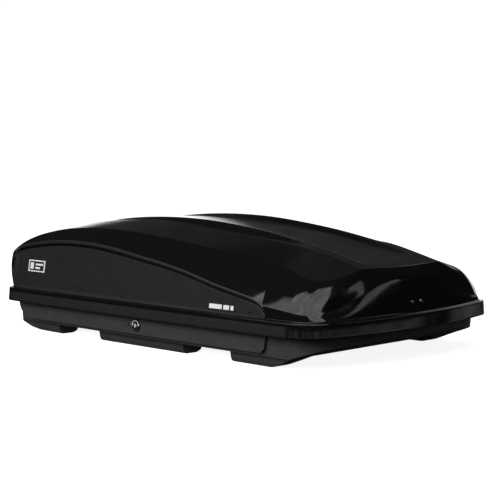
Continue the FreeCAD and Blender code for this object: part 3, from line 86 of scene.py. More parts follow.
# The height over which the groove and bead fade out where they run down to the ledge.
RELIEF_START, RELIEF_FADE = 2, 14
WALL_FOOT = LEDGE + 2.4
PANEL_MARGIN = 6


# ---------------------------------------------------------------- curves and outlines

def along(stations, place):
    """Smooth curve through stations given as (place, value), straight beyond its ends."""
    count = len(stations)
    slopes = []
    for index in range(count):
        before = stations[max(index - 1, 0)]
        after = stations[min(index + 1, count - 1)]
        slopes.append((after[1] - before[1]) / (after[0] - before[0]))
    if place <= stations[0][0]:
        return stations[0][1] + slopes[0] * (place - stations[0][0])
    for index in range(count - 1):
        start, end = stations[index], stations[index + 1]
        if place <= end[0]:
            span = end[0] - start[0]
            part = (place - start[0]) / span
            rise = part * part * (3 - 2 * part)
            leave = part * (1 - part) ** 2
            arrive = part * part * (part - 1)
            return (start[1] + (end[1] - start[1]) * rise
                    + span * (slopes[index] * leave + slopes[index + 1] * arrive))
    return stations[-1][1] + slopes[-1] * (place - stations[-1][0])


def clamp(value, low, high):
    return min(max(value, low), high)


def held(stations, place):
    """The curve through stations, held level beyond its ends."""
    return along(stations, clamp(place, stations[0][0], stations[-1][0]))


def ease(part):
    part = clamp(part, 0, 1)
    return part * part * (3 - 2 * part)


def mix(first, second, part):
    return first + (second - first) * part


def ramp(part, rounding):
    """A straight ramp from 0 to 1 whose two ends are rounded over a share of its run."""
    part = clamp(part, 0, 1)
    slope = 1 / (1 - rounding)
    if part < rounding:
        return slope * part * part / (2 * rounding)
    if part > 1 - rounding:
        return 1 - slope * (1 - part) ** 2 / (2 * rounding)
    return slope * (part - rounding / 2)


def circle_through_bow(chord, bow):
    return (chord * chord / 4 + bow * bow) / (2 * bow)


REAR_END = -LENGTH / 2 + REAR_BOW
NOSE_END = LENGTH / 2 - NOSE_BOW
CORNER_SIDE = WIDTH / 2 - SIDE_BOW
SIDE_RADIUS = circle_through_bow(NOSE_END - REAR_END, SIDE_BOW)
NOSE_RADIUS = circle_through_bow(2 * CORNER_SIDE, NOSE_BOW)
REAR_RADIUS = circle_through_bow(2 * CORNER_SIDE, REAR_BOW)
SIDE_CENTRE = ((NOSE_END + REAR_END) / 2, SIDE_RADIUS - WIDTH / 2)
NOSE_CENTRE = (LENGTH / 2 - NOSE_RADIUS, 0)
REAR_CENTRE = (REAR_RADIUS - LENGTH / 2, 0)


def circles_meet(first, first_radius, second, second_radius, near):
    gap = math.dist(first, second)
    reach = (first_radius ** 2 - second_radius ** 2 + gap ** 2) / (2 * gap)
    half = math.sqrt(max(first_radius ** 2 - reach ** 2, 0))
    way = ((second[0] - first[0]) / gap, (second[1] - first[1]) / gap)
    middle = (first[0] + reach * way[0], first[1] + reach * way[1])
    found = [(middle[0] - side * half * way[1], middle[1] + side * half * way[0])
             for side in (-1, 1)]
    return min(found, key=lambda point: math.dist(point, near))


class Outline:
    """One half (y below 0) of a closed outline made of the rim's arcs, moved inwards."""

    def __init__(self, rear_inset, side_inset, nose_inset, rear_corner, nose_corner):
        self.side = SIDE_RADIUS - side_inset
        self.nose = NOSE_RADIUS - nose_inset
        self.rear = REAR_RADIUS - rear_inset
        self.corner_radius = {"rear": rear_corner, "nose": nose_corner}
        low = -WIDTH / 2
        self.corner = {
            "nose": circles_meet(SIDE_CENTRE, self.side - nose_corner, NOSE_CENTRE,
                                 self.nose - nose_corner, (LENGTH / 2, low)),
            "rear": circles_meet(SIDE_CENTRE, self.side - rear_corner, REAR_CENTRE,
                                 self.rear - rear_corner, (-LENGTH / 2, low))}

    def heading(self, centre, end):
        corner = self.corner[end]
        return math.atan2(corner[1] - centre[1], corner[0] - centre[0])

    def on_corner(self, end, part):
        """A point of a corner arc, from its end towards the nose or rear to the side."""
        start = self.heading(NOSE_CENTRE if end == "nose" else REAR_CENTRE, end)
        stop = self.heading(SIDE_CENTRE, end)
        if end == "rear":
            start -= 2 * math.pi if start > 0 else 0
        angle = mix(start, stop, part)
        normal = (math.cos(angle), math.sin(angle))
        centre, radius = self.corner[end], self.corner_radius[end]
        return (centre[0] + radius * normal[0], centre[1] + radius * normal[1]), normal

    def end_y(self, end):
        return self.on_corner(end, 0)[0][1]

    def side_x(self, end):
        return self.on_corner(end, 1)[0][0]

    def on_end(self, end, y):
        """A point of the rear or nose arc."""
        centre, radius = (NOSE_CENTRE, self.nose) if end == "nose" else (REAR_CENTRE, self.rear)
        sign = 1 if end == "nose" else -1
        x = centre[0] + sign * math.sqrt(radius ** 2 - y ** 2)
        return (x, y), ((x - centre[0]) / radius, y / radius)

    def on_side(self, x):
        y = SIDE_CENTRE[1] - math.sqrt(self.side ** 2 - (x - SIDE_CENTRE[0]) ** 2)
        return (x, y), ((x - SIDE_CENTRE[0]) / self.side, (y - SIDE_CENTRE[1]) / self.side)


RIM = Outline(0, 0, 0, 70, 100)
CREST = Outline(109, 115, 67, 60, 80)


# ---------------------------------------------------------------- form of the lid

def roof_height(x, y):
    """Roof inside the shoulders: a middle valley, a rib each side of it and two sloping decks."""
    across = abs(y)
    crest = along(RIB_CREST, x)
    foot = crest - max(held(RIB_RISE, x), 0)
    valley = crest - max(held(VALLEY_DROP, x), 0)
    if across <= VALLEY_SIDE:
        dish = VALLEY_DISH * ease((NOSE_END - x) / DISH_FADE)
        return valley - dish * (1 - (across / VALLEY_SIDE) ** 2)
    if across <= RIB_SIDE:
        part = (across - VALLEY_SIDE) / (RIB_SIDE - VALLEY_SIDE)
        return mix(valley, crest, ramp(part, RIB_ROUNDING))
    if across <= RIB_FOOT:
        part = (across - RIB_SIDE) / (RIB_FOOT - RIB_SIDE)
        return mix(crest, foot, ramp(part, FOOT_ROUNDING))
    part = (across - RIB_FOOT) / (SHOULDER - RIB_FOOT)
    return mix(foot, along(SHOULDER_CREST, x), part)


class Wall:
    """What the lid's wall does at one point of the rim.

    The shares of nose, rear, corner and panel come from the rim's unit normal there, so each
    fades in over part of a corner.
    """

    def __init__(self, rim, normal):
        forward, sideways = normal
        nose = ease((forward - 0.55) / 0.35)
        rear = ease((-forward - 0.1) / 0.5)
        corner = rear * ease((sideways + 1.02) / 0.1) * ease((0.15 - sideways) / 0.5)
        on_nose = forward > 0 and abs(rim[1]) < NOSE_FACE_END
        on_panel = rim[0] <= PANEL_END and forward <= 0.2
        past_panel = ease((-forward - 0.25) / 0.3)
        self.crease = on_nose * (1 - ease((abs(rim[1]) - NOSE_CREASE_END) / NOSE_CREASE_FADE))
        self.bead = held(BEAD_WIDTH, rim[0])
        self.groove = mix(held(GROOVE, rim[0]), REAR_WALL_TOP - self.bead, rear)
        self.top = held(CORNER_TOP, rim[0])
        if on_nose:
            self.top = held(NOSE_EDGE, abs(rim[1]))
        elif on_panel:
            self.top = max(self.groove + self.bead, self.top)
        above_ledge = ease((self.groove - LEDGE - RELIEF_START) / RELIEF_FADE)
        self.relief = on_panel * above_ledge * (1 - past_panel)
        self.draft = math.tan(math.radians(mix(SIDE_DRAFT, REAR_DRAFT, rear)))
        self.bulge = REAR_BULGE * rear + CORNER_BULGE * corner
        self.lean = NOSE_LEAN * nose
        self.edge = mix(SIDE_EDGE, END_EDGE, max(nose, rear))

    def inset(self, height):
        part = clamp((height - LEDGE) / (self.top - LEDGE), 0, 1)
        return (LEDGE_WIDTH + (height - LEDGE) * self.draft + self.lean * part * part
                - self.bulge * math.sin(0.8 * math.pi * part))


# Rings of the lid's skin: heights beside the groove's middle, shares of the bead, of the plain
# wall below, of the rounded edge and of the shoulder, and (inset, height) of the lip.
GROOVE_HALF, GROOVE_DEPTH, BEAD_RISE = 3.2, 9, 1.6
GROOVE_RINGS = (-4.6, -3.2, -3.0, -2.2, 0, 2.2, 3.0, 3.2)
BEAD_RINGS = (0.14, 0.34, 0.56, 0.78, 1)
WALL_RINGS = (0, 0.1, 0.24, 0.4, 0.56, 0.72, 0.88)
EDGE_RINGS = (0.2, 0.4, 0.6, 0.8, 1)
SHOULDER_RINGS = (0.09, 0.18, 0.27, 0.36, 0.45, 0.54, 0.63, 0.72, 0.8, 0.87, 0.94, 1)
LIP = ((1.6, 96), (0.6, 96.3), (0.1, 97.2), (0.6, 104), (1.4, 115), (2.1, 125.6), (2.3, 126.8),
       (2.8, 133.5), (3.3, 135.8), (4.6, 137.1), (6.4, 137.5), (10, 137.4), (13.5, 137.5),
       (15.6, 138.1), (16.7, 139.3))
LIP_SATIN_TOP = 126


def relief_inset(offset, wall):
    """How far the groove and the bead above it move the wall in or out."""
    if abs(offset) < GROOVE_HALF:
        return wall.relief * GROOVE_DEPTH * (1 - (offset / GROOVE_HALF) ** 4)
    if GROOVE_HALF <= offset <= wall.bead:
        part = (offset - GROOVE_HALF) / (wall.bead - GROOVE_HALF)
        return -wall.relief * BEAD_RISE * math.sin(math.pi * part) ** 0.4
    return 0


def wall_rings(wall):
    """(inset, height, polish) from the ledge up to just under the wall's top edge. The groove's
    rings get full polish, so their darker gloss colour is painted shade in the groove.
    """
    low, edge_start = WALL_FOOT, wall.top - wall.edge
    heights = [mix(low, wall.groove - PANEL_MARGIN, part) for part in WALL_RINGS]
    heights += [wall.groove + offset for offset in GROOVE_RINGS]
    bead_low = wall.groove + GROOVE_HALF
    heights += [mix(bead_low, max(edge_start, bead_low + 1), part) for part in BEAD_RINGS]
    count = len(heights)
    plain_top = max(edge_start, low + 0.6)
    first_groove, bead_start = len(WALL_RINGS) + 1, len(WALL_RINGS) + len(GROOVE_RINGS)
    rings = []
    for index, height in enumerate(heights):
        plain = mix(low, plain_top, index / (count - 1))
        height = mix(plain, height, wall.relief)
        inset = wall.inset(height) + relief_inset(height - wall.groove, wall)
        above_bead = ease((height - wall.groove - wall.bead) / 2)
        # Full polish in the groove's rings gives them the darker gloss colour, painted shade in the
        # groove.
        polish_and_groove_shade = 1 if first_groove <= index < bead_start else max(1 - wall.relief, above_bead)
        rings.append((inset, height, polish_and_groove_shade))
    return rings


def parabola(start, bend, end, part):
    return start * (1 - part) ** 2 + bend * (2 * part * (1 - part)) + end * part ** 2


def shoulder_bend(rim, top, end, crease):
    """The bend of the shoulder's parabola, where its tangents from wall top and crest meet.

    Both slopes are shares of the straight slope between them. Towards nose and rear the
    shoulder turns from a flat deck to a round one that leaves the roof without a crease.
    """
    run = math.dist(top[:2], end[:2])
    way = ((top.x - end.x) / run, (top.y - end.y) / run)
    probe = 6
    fall = (end.z - roof_height(end.x + probe * way[0], end.y + probe * way[1])) / probe
    chord = (end.z - top.z) / run
    round_share = max(ease((rim[0] - 430) / 110), ease((-rim[0] - 600) / 70))
    at_crest = mix(0.8 * chord, max(fall, 0.03), round_share)
    at_top = mix(mix(1.2, 2.3, round_share), 1.05, crease) * chord
    at_top = max(at_top, at_crest + 0.05, 1.02 * chord)
    at_crest = min(at_crest, 0.95 * chord)
    out = clamp((top.z + at_top * run - end.z) / (at_top - at_crest), 0.1 * run, 0.9 * run)
    return Vector((end.x + out * way[0], end.y + out * way[1], end.z - at_crest * out))


def profile(rim, normal, crest):
    """Points of the lid's outside from the lip's bottom to the crest, and their polish, which in
    the groove is painted shade.
    """
    wall = Wall(rim, normal)

    def at(inset, height):
        return (rim[0] - inset * normal[0], rim[1] - inset * normal[1], height)

    lip_polish = ease(normal[0] / 0.12)
    points, polish_and_groove_shade = [], []
    for inset, height in LIP:
        points.append(at(inset, height))
        polish_and_groove_shade.append(lip_polish if height < LIP_SATIN_TOP else 1)
    for inset, height, shine_and_groove_shade in wall_rings(wall):
        points.append(at(inset, height))
        polish_and_groove_shade.append(shine_and_groove_shade)
    start = Vector(points[-1])
    top = Vector(at(wall.inset(wall.top), wall.top))
    end = Vector((crest[0], crest[1], roof_height(*crest)))
    bend = shoulder_bend(rim, top, end, wall.crease)
    edge_share = clamp(wall.edge / (2 * max((bend - top).length, 1)), 0.01, 0.2)
    edge_end = parabola(top, bend, end, edge_share)
    for part in EDGE_RINGS:
        points.append(tuple(parabola(start, top, edge_end, part)))
        polish_and_groove_shade.append(polish_and_groove_shade[-1] if part < 0.5 else 1)
    for part in SHOULDER_RINGS:
        points.append(tuple(parabola(top, bend, end, mix(edge_share, 1, part))))
        polish_and_groove_shade.append(1)
    return points, polish_and_groove_shade


def steps(start, end, count):
    return [mix(start, end, index / count) for index in range(count + 1)]


def half_loop():
    """(rim point, rim normal, crest point) from the rear's middle to the nose's middle."""
    inner = (steps(0, VALLEY_SIDE - 10, 7)[:-1] + steps(VALLEY_SIDE - 10, VALLEY_SIDE, 2)[:-1]
             + steps(VALLEY_SIDE, RIB_SIDE, 8)[:-1] + steps(RIB_SIDE, RIB_FOOT, 7))
    rear_extra, rear_half = 12, 14
    nose_extra, nose_half = 16, 10
    loop = []

    def add_end(end, rim_rows):
        crest_rows = inner[:-1] + steps(inner[-1], -CREST.end_y(end), len(rim_rows) - len(inner))
        return [(*RIM.on_end(end, -rim_y), CREST.on_end(end, -crest_y)[0])
                for rim_y, crest_y in zip(rim_rows, crest_rows)]

    def add_corner(end, half):
        return [(*RIM.on_corner(end, index / (2 * half)),
                 CREST.on_corner(end, index / (2 * half))[0]) for index in range(1, 2 * half)]

    rear_rows = inner[:-1] + steps(inner[-1], -RIM.end_y("rear"), rear_extra)
    nose_rows = inner[:-1] + steps(inner[-1], -RIM.end_y("nose"), nose_extra)
    loop += add_end("rear", rear_rows)
    loop += add_corner("rear", rear_half)
    start, end = RIM.side_x("rear"), RIM.side_x("nose")
    crest_start, crest_end = CREST.side_x("rear"), CREST.side_x("nose")
    fine_start, fine_end = PANEL_END - 51, PANEL_END + 5
    places = (steps(start, fine_start, 112)[:-1] + steps(fine_start, fine_end, 17)[:-1]
              + steps(fine_end, end, 9))
    for x in places:
        part = (x - start) / (end - start)
        loop.append((*RIM.on_side(x), CREST.on_side(mix(crest_start, crest_end, part))[0]))
    loop += reversed(add_corner("nose", nose_half))
    loop += reversed(add_end("nose", nose_rows))
    across = len(inner) - 1 + rear_extra + rear_half
    lengthwise = rear_half + len(places) - 1 + nose_half
    return loop, len(inner) - 1, across, lengthwise


def roof_grid(half, inner, across, lengthwise):
    """Plan positions inside the crest: straight rows over valley and ribs, blended beyond."""
    rear = [np.array(half[j][2]) for j in range(across + 1)]
    side = [np.array(half[across + i][2]) for i in range(lengthwise + 1)]
    nose = [np.array(half[2 * across + lengthwise - j][2]) for j in range(across + 1)]
    share = [(point[0] - side[0][0]) / (side[-1][0] - side[0][0]) for point in side]
    grid = np.zeros((lengthwise + 1, across + 1, 2))
    for i, u in enumerate(share):
        for j in range(inner + 1):
            grid[i, j] = mix(rear[j], nose[j], u)
        for j in range(inner + 1, across + 1):
            v = (j - inner) / (across - inner)
            ruled = mix(grid[i, inner], side[i], v) + mix(rear[j], nose[j], u)
            low = mix(rear[inner], nose[inner], u)
            high = mix(side[0], side[-1], u)
            grid[i, j] = ruled - mix(low, high, v)
    return grid


def new_mesh_object(name, points, faces, smooth=True):
    mesh = bpy.data.meshes.new(name)
    mesh.from_pydata([tuple(c * MM for c in point) for point in points], [], faces)
    mesh.update()
    if smooth:
        mesh.polygons.foreach_set("use_smooth", [True] * len(mesh.polygons))
    made = bpy.data.objects.new(name, mesh)
    bpy.context.scene.collection.objects.link(made)
    return made


def ring_faces(rings, around):
    """Four-sided faces between rings of points that follow one another."""
    return [(ring * around + step, ring * around + (step + 1) % around,
             (ring + 1) * around + (step + 1) % around, (ring + 1) * around + step)
            for ring in range(rings - 1) for step in range(around)]


def make_lid():
    """The lid as one skin: lip, ledge, walls with their groove and bead, shoulders and roof."""
    half, inner, across, lengthwise = half_loop()
    count = len(half) - 1
    loop = half + [((x, -y), (nx, -ny), (cx, -cy))
                   for (x, y), (nx, ny), (cx, cy) in reversed(half[1:-1])]
    columns = [profile(*entry) for entry in loop]
    rings = len(columns[0][0])
    points, polish_and_groove_shade = [], []
    for ring in range(rings):
        for column_points, column_polish in columns:
            points.append(column_points[ring])
            polish_and_groove_shade.append(column_polish[ring])
    around = len(loop)
    faces = ring_faces(rings, around)
    crest_start = (rings - 1) * around
    grid = roof_grid(half, inner, across, lengthwise)
    number = {}
    for i in range(lengthwise + 1):
        for j in range(-across, across + 1):
            depth = abs(j)
            if i == 0:
                place = depth
            elif depth == across:
                place = across + i
            elif i == lengthwise:
                place = count - depth
            else:
                x, y = grid[i, depth]
                y = y if j <= 0 else -y
                number[i, j] = len(points)
                points.append((x, y, roof_height(x, y)))
                polish_and_groove_shade.append(1)
                continue
            number[i, j] = crest_start + (place if j <= 0 else (around - place) % around)
    for i in range(lengthwise):
        for j in range(-across, across):
            faces.append((number[i, j], number[i + 1, j], number[i + 1, j + 1],
                          number[i, j + 1]))
    lid = new_mesh_object("lid_skin", points, faces)
    attribute = lid.data.attributes.new("polish_and_groove_shade", "FLOAT", "POINT")
    attribute.data.foreach_set("value", polish_and_groove_shade)
    wall = lid.modifiers.new("wall", "SOLIDIFY")
    wall.thickness = LID_WALL * MM
    wall.offset = -1
    wall.material_offset = 1
    wall.material_offset_rim = 1
    return lid


lid_skin = make_lid()

# ---------------------------------------------------------------- materials

def new_material(name, colour, roughness, **sockets):
    material = bpy.data.materials.new(name)
    material.use_nodes = True
    shader = material.node_tree.nodes["Principled BSDF"]
    shader.inputs["Base Color"].default_value = (*colour, 1)
    shader.inputs["Roughness"].default_value = roughness
    for socket, value in sockets.items():
        shader.inputs[socket.replace("_", " ").title().replace("Ior", "IOR")].default_value = value
    return material


def add_node(material, kind, **values):
    node = material.node_tree.nodes.new(kind)
    for key, value in values.items():
        if key in node.inputs:
            node.inputs[key].default_value = value
        else:
            setattr(node, key, value)
    return node


def link(material, source, target):
    material.node_tree.links.new(source, target)


def noise(material, scale, detail=3, stretch=(1, 1, 1), roughness=0.55):
    """Noise in the piece's own coordinates, in cycles per metre."""
    coordinates = add_node(material, "ShaderNodeTexCoord")
    mapping = add_node(material, "ShaderNodeMapping")
    mapping.inputs["Scale"].default_value = stretch
    texture = add_node(material, "ShaderNodeTexNoise", Scale=scale, Detail=detail,
                       Roughness=roughness)
    link(material, coordinates.outputs["Object"], mapping.inputs["Vector"])
    link(material, mapping.outputs["Vector"], texture.inputs["Vector"])
    return texture.outputs["Fac"]


def spread(material, source, low, high, from_low=0.3, from_high=0.7):
    node = add_node(material, "ShaderNodeMapRange")
    node.inputs["From Min"].default_value = from_low
    node.inputs["From Max"].default_value = from_high
    node.inputs["To Min"].default_value = low
    node.inputs["To Max"].default_value = high
    link(material, source, node.inputs["Value"])
    return node.outputs["Result"]


def combine(material, operation, first, second):
    node = add_node(material, "ShaderNodeMath", operation=operation)
    for socket, value in zip(node.inputs, (first, second)):
        if isinstance(value, (int, float)):
            socket.default_value = value
        else:
            link(material, value, socket)
    return node.outputs[0]


def blend_colours(material, factor, first, second):
    node = add_node(material, "ShaderNodeMix", data_type="RGBA")
    link(material, factor, node.inputs["Factor"])
    node.inputs[6].default_value = (*first, 1)
    node.inputs[7].default_value = (*second, 1)
    return node.outputs[2]


def add_bump(material, height, distance, strength=1.0):
    """Bump on top of what the shader's normal already has."""
    shader = material.node_tree.nodes["Principled BSDF"]
    bump = add_node(material, "ShaderNodeBump")
    bump.inputs["Distance"].default_value = distance
    bump.inputs["Strength"].default_value = strength
    link(material, height, bump.inputs["Height"])
    previous = shader.inputs["Normal"].links
    if previous:
        link(material, previous[0].from_socket, bump.inputs["Normal"])
    link(material, bump.outputs["Normal"], shader.inputs["Normal"])
    return bump


def set_input(material, socket, source):
    link(material, source, material.node_tree.nodes["Principled BSDF"].inputs[socket])


def lid_material():
    """Black ABS: high gloss on top, fine satin grain where the polish attribute is low. The darker
    gloss colour in the wall's groove is painted shade.
    """
    material = new_material("lid_gloss_black", (0.008, 0.008, 0.009), 0.1)
    polish_and_groove_shade = add_node(material, "ShaderNodeAttribute", attribute_name="polish_and_groove_shade").outputs["Fac"]
    dull = combine(material, "SUBTRACT", 1, polish_and_groove_shade)
    haze = spread(material, noise(material, 9, 6, (1, 4, 4)), 0.05, 0.14)
    satin = spread(material, noise(material, 35, 5), 0.4, 0.52)
    rough = combine(material, "ADD", combine(material, "MULTIPLY", haze, polish_and_groove_shade),
                    combine(material, "MULTIPLY", satin, dull))
    set_input(material, "Roughness", rough)
    # Full polish gives the darker colour, which in the wall's groove is painted shade.
    colour = blend_colours(material, polish_and_groove_shade, (0.0105, 0.0105, 0.011), (0.004, 0.004, 0.0045))
    set_input(material, "Base Color", colour)
    grain = combine(material, "MULTIPLY", noise(material, 1400, 2), dull)
    add_bump(material, grain, 0.00018, 0.6)
    add_bump(material, noise(material, 14, 1), 0.0004, 0.1)
    return material


def grained_plastic(name, colour, lighter, roughness, grain_scale=1200, grain=0.0002):
    material = new_material(name, colour, roughness)
    wear = spread(material, noise(material, 24, 6), 0, 1)
    set_input(material, "Base Color", blend_colours(material, wear, colour, lighter))
    set_input(material, "Roughness", spread(material, noise(material, 60, 4), roughness - 0.07,
                                            roughness + 0.07))
    add_bump(material, noise(material, grain_scale, 3), grain, 0.7)
    return material


def worked_metal(name, colour, roughness, scratch=(1, 1, 30), variation=0.08, **sockets):
    material = new_material(name, colour, roughness, metallic=1.0, **sockets)
    cloud = spread(material, noise(material, 90, 5), 0, 1)
    darker = tuple(0.82 * channel for channel in colour)
    set_input(material, "Base Color", blend_colours(material, cloud, darker, colour))
    lines = noise(material, 220, 4, scratch)
    set_input(material, "Roughness", spread(material, lines, max(roughness - variation, 0.04),
                                            roughness + variation))
    add_bump(material, lines, 0.00004, 0.35)
    return material


def make_materials():
    return {
        "tray_plastic": grained_plastic("tray_textured_black", (0.033, 0.033, 0.034),
                                        (0.043, 0.043, 0.044), 0.56, 1000, 0.0003),
        "lid_gloss": lid_material(),
        "seal_rubber": grained_plastic("seal_black_rubber", (0.012, 0.012, 0.012),
                                       (0.018, 0.018, 0.018), 0.7, 700, 0.00012),
        "black_trim": grained_plastic("trim_black_nylon", (0.004, 0.004, 0.0045),
                                      (0.007, 0.007, 0.0075), 0.34, 1800, 0.0001),
        "knob_plastic": grained_plastic("knob_black_nylon", (0.02, 0.02, 0.021),
                                        (0.03, 0.03, 0.031), 0.38, 1500, 0.0001),
        "barrel_chrome": worked_metal("barrel_nickel", (0.86, 0.85, 0.83), 0.16, (30, 30, 1)),
        "tube_paint": grained_plastic("strut_tube_paint", (0.012, 0.012, 0.013),
                                      (0.018, 0.018, 0.019), 0.28, 300, 0.00006),
        "rod_chrome": worked_metal("strut_rod_chrome", (0.75, 0.75, 0.77), 0.1, (30, 1, 1), 0.04),
        "dark_rivet": grained_plastic("rivet_black_paint", (0.003, 0.003, 0.003),
                                      (0.009, 0.009, 0.009), 0.3, 2500, 0.00005),
        "bright_rivet": worked_metal("rivet_bare_aluminium", (0.8, 0.8, 0.81), 0.24, (1, 20, 20)),
        "stiffener_aluminium": worked_metal("stiffener_mill_aluminium", (0.62, 0.62, 0.63), 0.36,
                                            (1, 30, 30)),
        "zinc_steel": worked_metal("steel_zinc_plate", (0.58, 0.58, 0.55), 0.38, (4, 4, 4), 0.12),
    }


materials = make_materials()
lid_inside = grained_plastic("lid_inside_black", (0.014, 0.014, 0.015), (0.02, 0.02, 0.021),
                             0.5, 900, 0.0002)

for row in frame["record"]["subparts"]:
    node = frame["nodes"][row["node"]]
    if not node.material_slots:
        node.data.materials.append(None)
    for slot in node.material_slots:
        slot.link = "OBJECT"
        slot.material = materials[row["material_slot"]]

lid_skin.data.materials.append(materials["lid_gloss"])
lid_skin.data.materials.append(lid_inside)
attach(lid_skin, "lid")
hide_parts("lid_shell")


# ---------------------------------------------------------------- details that the CAD leaves plain

def wall_point(x, height, out=0):
    """A point of the lid's right wall, a little out from its surface."""
    rim, normal = RIM.on_side(x)
    inset = Wall(rim, normal).inset(height) - out
    return (rim[0] - inset * normal[0], rim[1] - inset * normal[1], height)


def thick_strip(name, rows, material, body):
    """A closed raised strip: each row is (outer low, outer high, inner high, inner low)."""
    points = [corner for row in rows for corner in row]
    faces = [(0, 1, 2, 3)]
    for index in range(len(rows) - 1):
        first, second = 4 * index, 4 * index + 4
        for side in range(4):
            after = (side + 1) % 4
            faces.append((first + side, second + side, second + after, first + after))
    last = 4 * (len(rows) - 1)
    faces.append((last + 3, last + 2, last + 1, last))
    made = new_mesh_object(name, points, faces, smooth=False)
    shape = bmesh.new()
    shape.from_mesh(made.data)
    bmesh.ops.recalc_face_normals(shape, faces=shape.faces)
    shape.to_mesh(made.data)
    shape.free()
    made.data.materials.append(material)
    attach(made, body)


def wall_mark(name, start, end, low, high, material):
    """A thin raised oblong mark that follows the lid's wall."""
    columns, rise, sink = 6, 0.7, 0.6
    rows = []
    for index in range(columns + 1):
        x = mix(start, end, index / columns)
        rows.append((wall_point(x, low, rise), wall_point(x, high, rise),
                     wall_point(x, high, -sink), wall_point(x, low, -sink)))
    thick_strip(name, rows, material, "lid")


def make_badges():
    """Plain generic marks: a framed badge near the rear and three bars near the nose."""
    pale = grained_plastic("badge_pale_print", (0.66, 0.67, 0.68), (0.78, 0.78, 0.79), 0.45, 900,
                           0.00004)
    left, right, low, high, line, upright = -576, -490, 195, 231, 3.4, 5
    bars_low, bars_high = 150.5, 163
    marks = [("badge_frame_bottom", left, right, low, low + line),
             ("badge_frame_top", left, right, high - line, high),
             ("badge_frame_rear", left, left + upright, low + line, high - line),
             ("badge_frame_front", right - upright, right, low + line, high - line),
             ("badge_block", left + 10, left + 27, low + 8, high - 8),
             ("badge_bar_upper", left + 37, right - 11, low + 20, low + 26),
             ("badge_bar_lower", left + 37, right - 25, low + 9, low + 15),
             ("side_bar_long", 273, 322, bars_low, bars_high),
             ("side_bar_middle", 328, 350, bars_low, bars_high),
             ("side_bar_short", 356, 367, bars_low, bars_high)]
    for name, start, end, bottom, top in marks:
        wall_mark(name, start, end, bottom, top, pale)


LOCK_X, LOCK_HEIGHT, LOCK_FACE = -43.5, 70, 401.5
# (radius, distance out from the bezel's face) round the collar's section.
COLLAR = ((9.4, -1.2), (9.4, 1.5), (8.9, 2.1), (7.2, 2.3), (5.9, 2.0), (5.6, 1.5), (5.6, 1.0))
ARROW_INNER, ARROW_OUTER = 12.8, 15.4
ARROW_START, ARROW_END = math.radians(-4), math.radians(184)
ARROW_RISE, ARROW_SINK = 0.5, 0.4
# Half widths of an arrow head, from its tip inwards.
ARROW_HEAD = (0.1, 1.65, 3, 3)


def lock_point(radius, angle, out):
    """A point round the lock's axis, some way out from the bezel's face."""
    return (LOCK_X + radius * math.cos(angle), -(LOCK_FACE + out),
            LOCK_HEIGHT + radius * math.sin(angle))


def make_ring_arrow():
    """A double-headed arc arrow, raised off the lock's disc."""
    pale = grained_plastic("arrow_pale_print", (0.62, 0.62, 0.62), (0.7, 0.7, 0.7), 0.5, 900,
                           0.00005)
    last = 32
    rows = []
    for index in range(last + 1):
        angle = mix(ARROW_START, ARROW_END, index / last)
        from_tip = min(index, last - index)
        low, high = ARROW_INNER, ARROW_OUTER
        if from_tip < len(ARROW_HEAD):
            middle = (ARROW_INNER + ARROW_OUTER) / 2
            low, high = middle - ARROW_HEAD[from_tip], middle + ARROW_HEAD[from_tip]
        rows.append(tuple(lock_point(radius, angle, out)
                          for radius, out in ((low, ARROW_RISE), (high, ARROW_RISE),
                                              (high, -ARROW_SINK), (low, -ARROW_SINK))))
    thick_strip("lock_ring_arrow", rows, pale, "root")


def dome_head(name, centre, normal, radius, rise, slot_name):
    """A rivet head: a low dome with a small mandrel hole in its middle."""
    normal = Vector(normal).normalized()
    across = normal.cross(Vector((0, 0, 1))).normalized()
    up = across.cross(normal)
    section = [(radius, -0.8), (radius, 0.15 * rise), (0.93 * radius, 0.45 * rise),
               (0.75 * radius, 0.78 * rise), (0.5 * radius, 0.97 * rise),
               (0.34 * radius, rise), (0.28 * radius, 0.7 * rise), (0.1 * radius, 0.6 * rise)]
    around = 24
    points = []
    for distance, height in section:
        for step in range(around):
            angle = 2 * math.pi * step / around
            points.append(tuple(Vector(centre) + across * distance * math.cos(angle)
                                + up * distance * math.sin(angle) + normal * height))
    faces = ring_faces(len(section), around)
    last = (len(section) - 1) * around
    faces.append(tuple(last + step for step in range(around)))
    faces.append(tuple(reversed(range(around))))
    made = new_mesh_object(name, points, faces)
    made.data.materials.append(materials[slot_name])
    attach(made, "lid")


STRIKER_STATIONS = (("rear", -533), ("middle", -71.5), ("front", 400))
RIVET_HALF_PITCH, RIVET_HEIGHT = 26, 153
NOSE_RIVET_SIDE, NOSE_RIVET_HEIGHT = 19.5, 169
STRIKER_HEAD_RADIUS, STRIKER_HEAD_RISE = 4.2, 2.4
NOSE_HEAD_RADIUS, NOSE_HEAD_RISE = 4, 2


def make_rivet_heads():
    for end, station in STRIKER_STATIONS:
        for tag, step in (("aft", -1), ("fore", 1)):
            x = station + step * RIVET_HALF_PITCH
            dome_head("%s_striker_%s_rivet_head" % (end, tag), wall_point(x, RIVET_HEIGHT),
                      (0, -1, 0.15), STRIKER_HEAD_RADIUS, STRIKER_HEAD_RISE, "dark_rivet")
    for tag, side in (("right", -1), ("left", 1)):
        rim, normal = RIM.on_end("nose", side * NOSE_RIVET_SIDE)
        inset = Wall(rim, normal).inset(NOSE_RIVET_HEIGHT)
        centre = (rim[0] - inset * normal[0], rim[1] - inset * normal[1], NOSE_RIVET_HEIGHT)
        dome_head("nose_%s_rivet_head" % tag, centre, (1, 0, 0.22), NOSE_HEAD_RADIUS,
                  NOSE_HEAD_RISE, "bright_rivet")


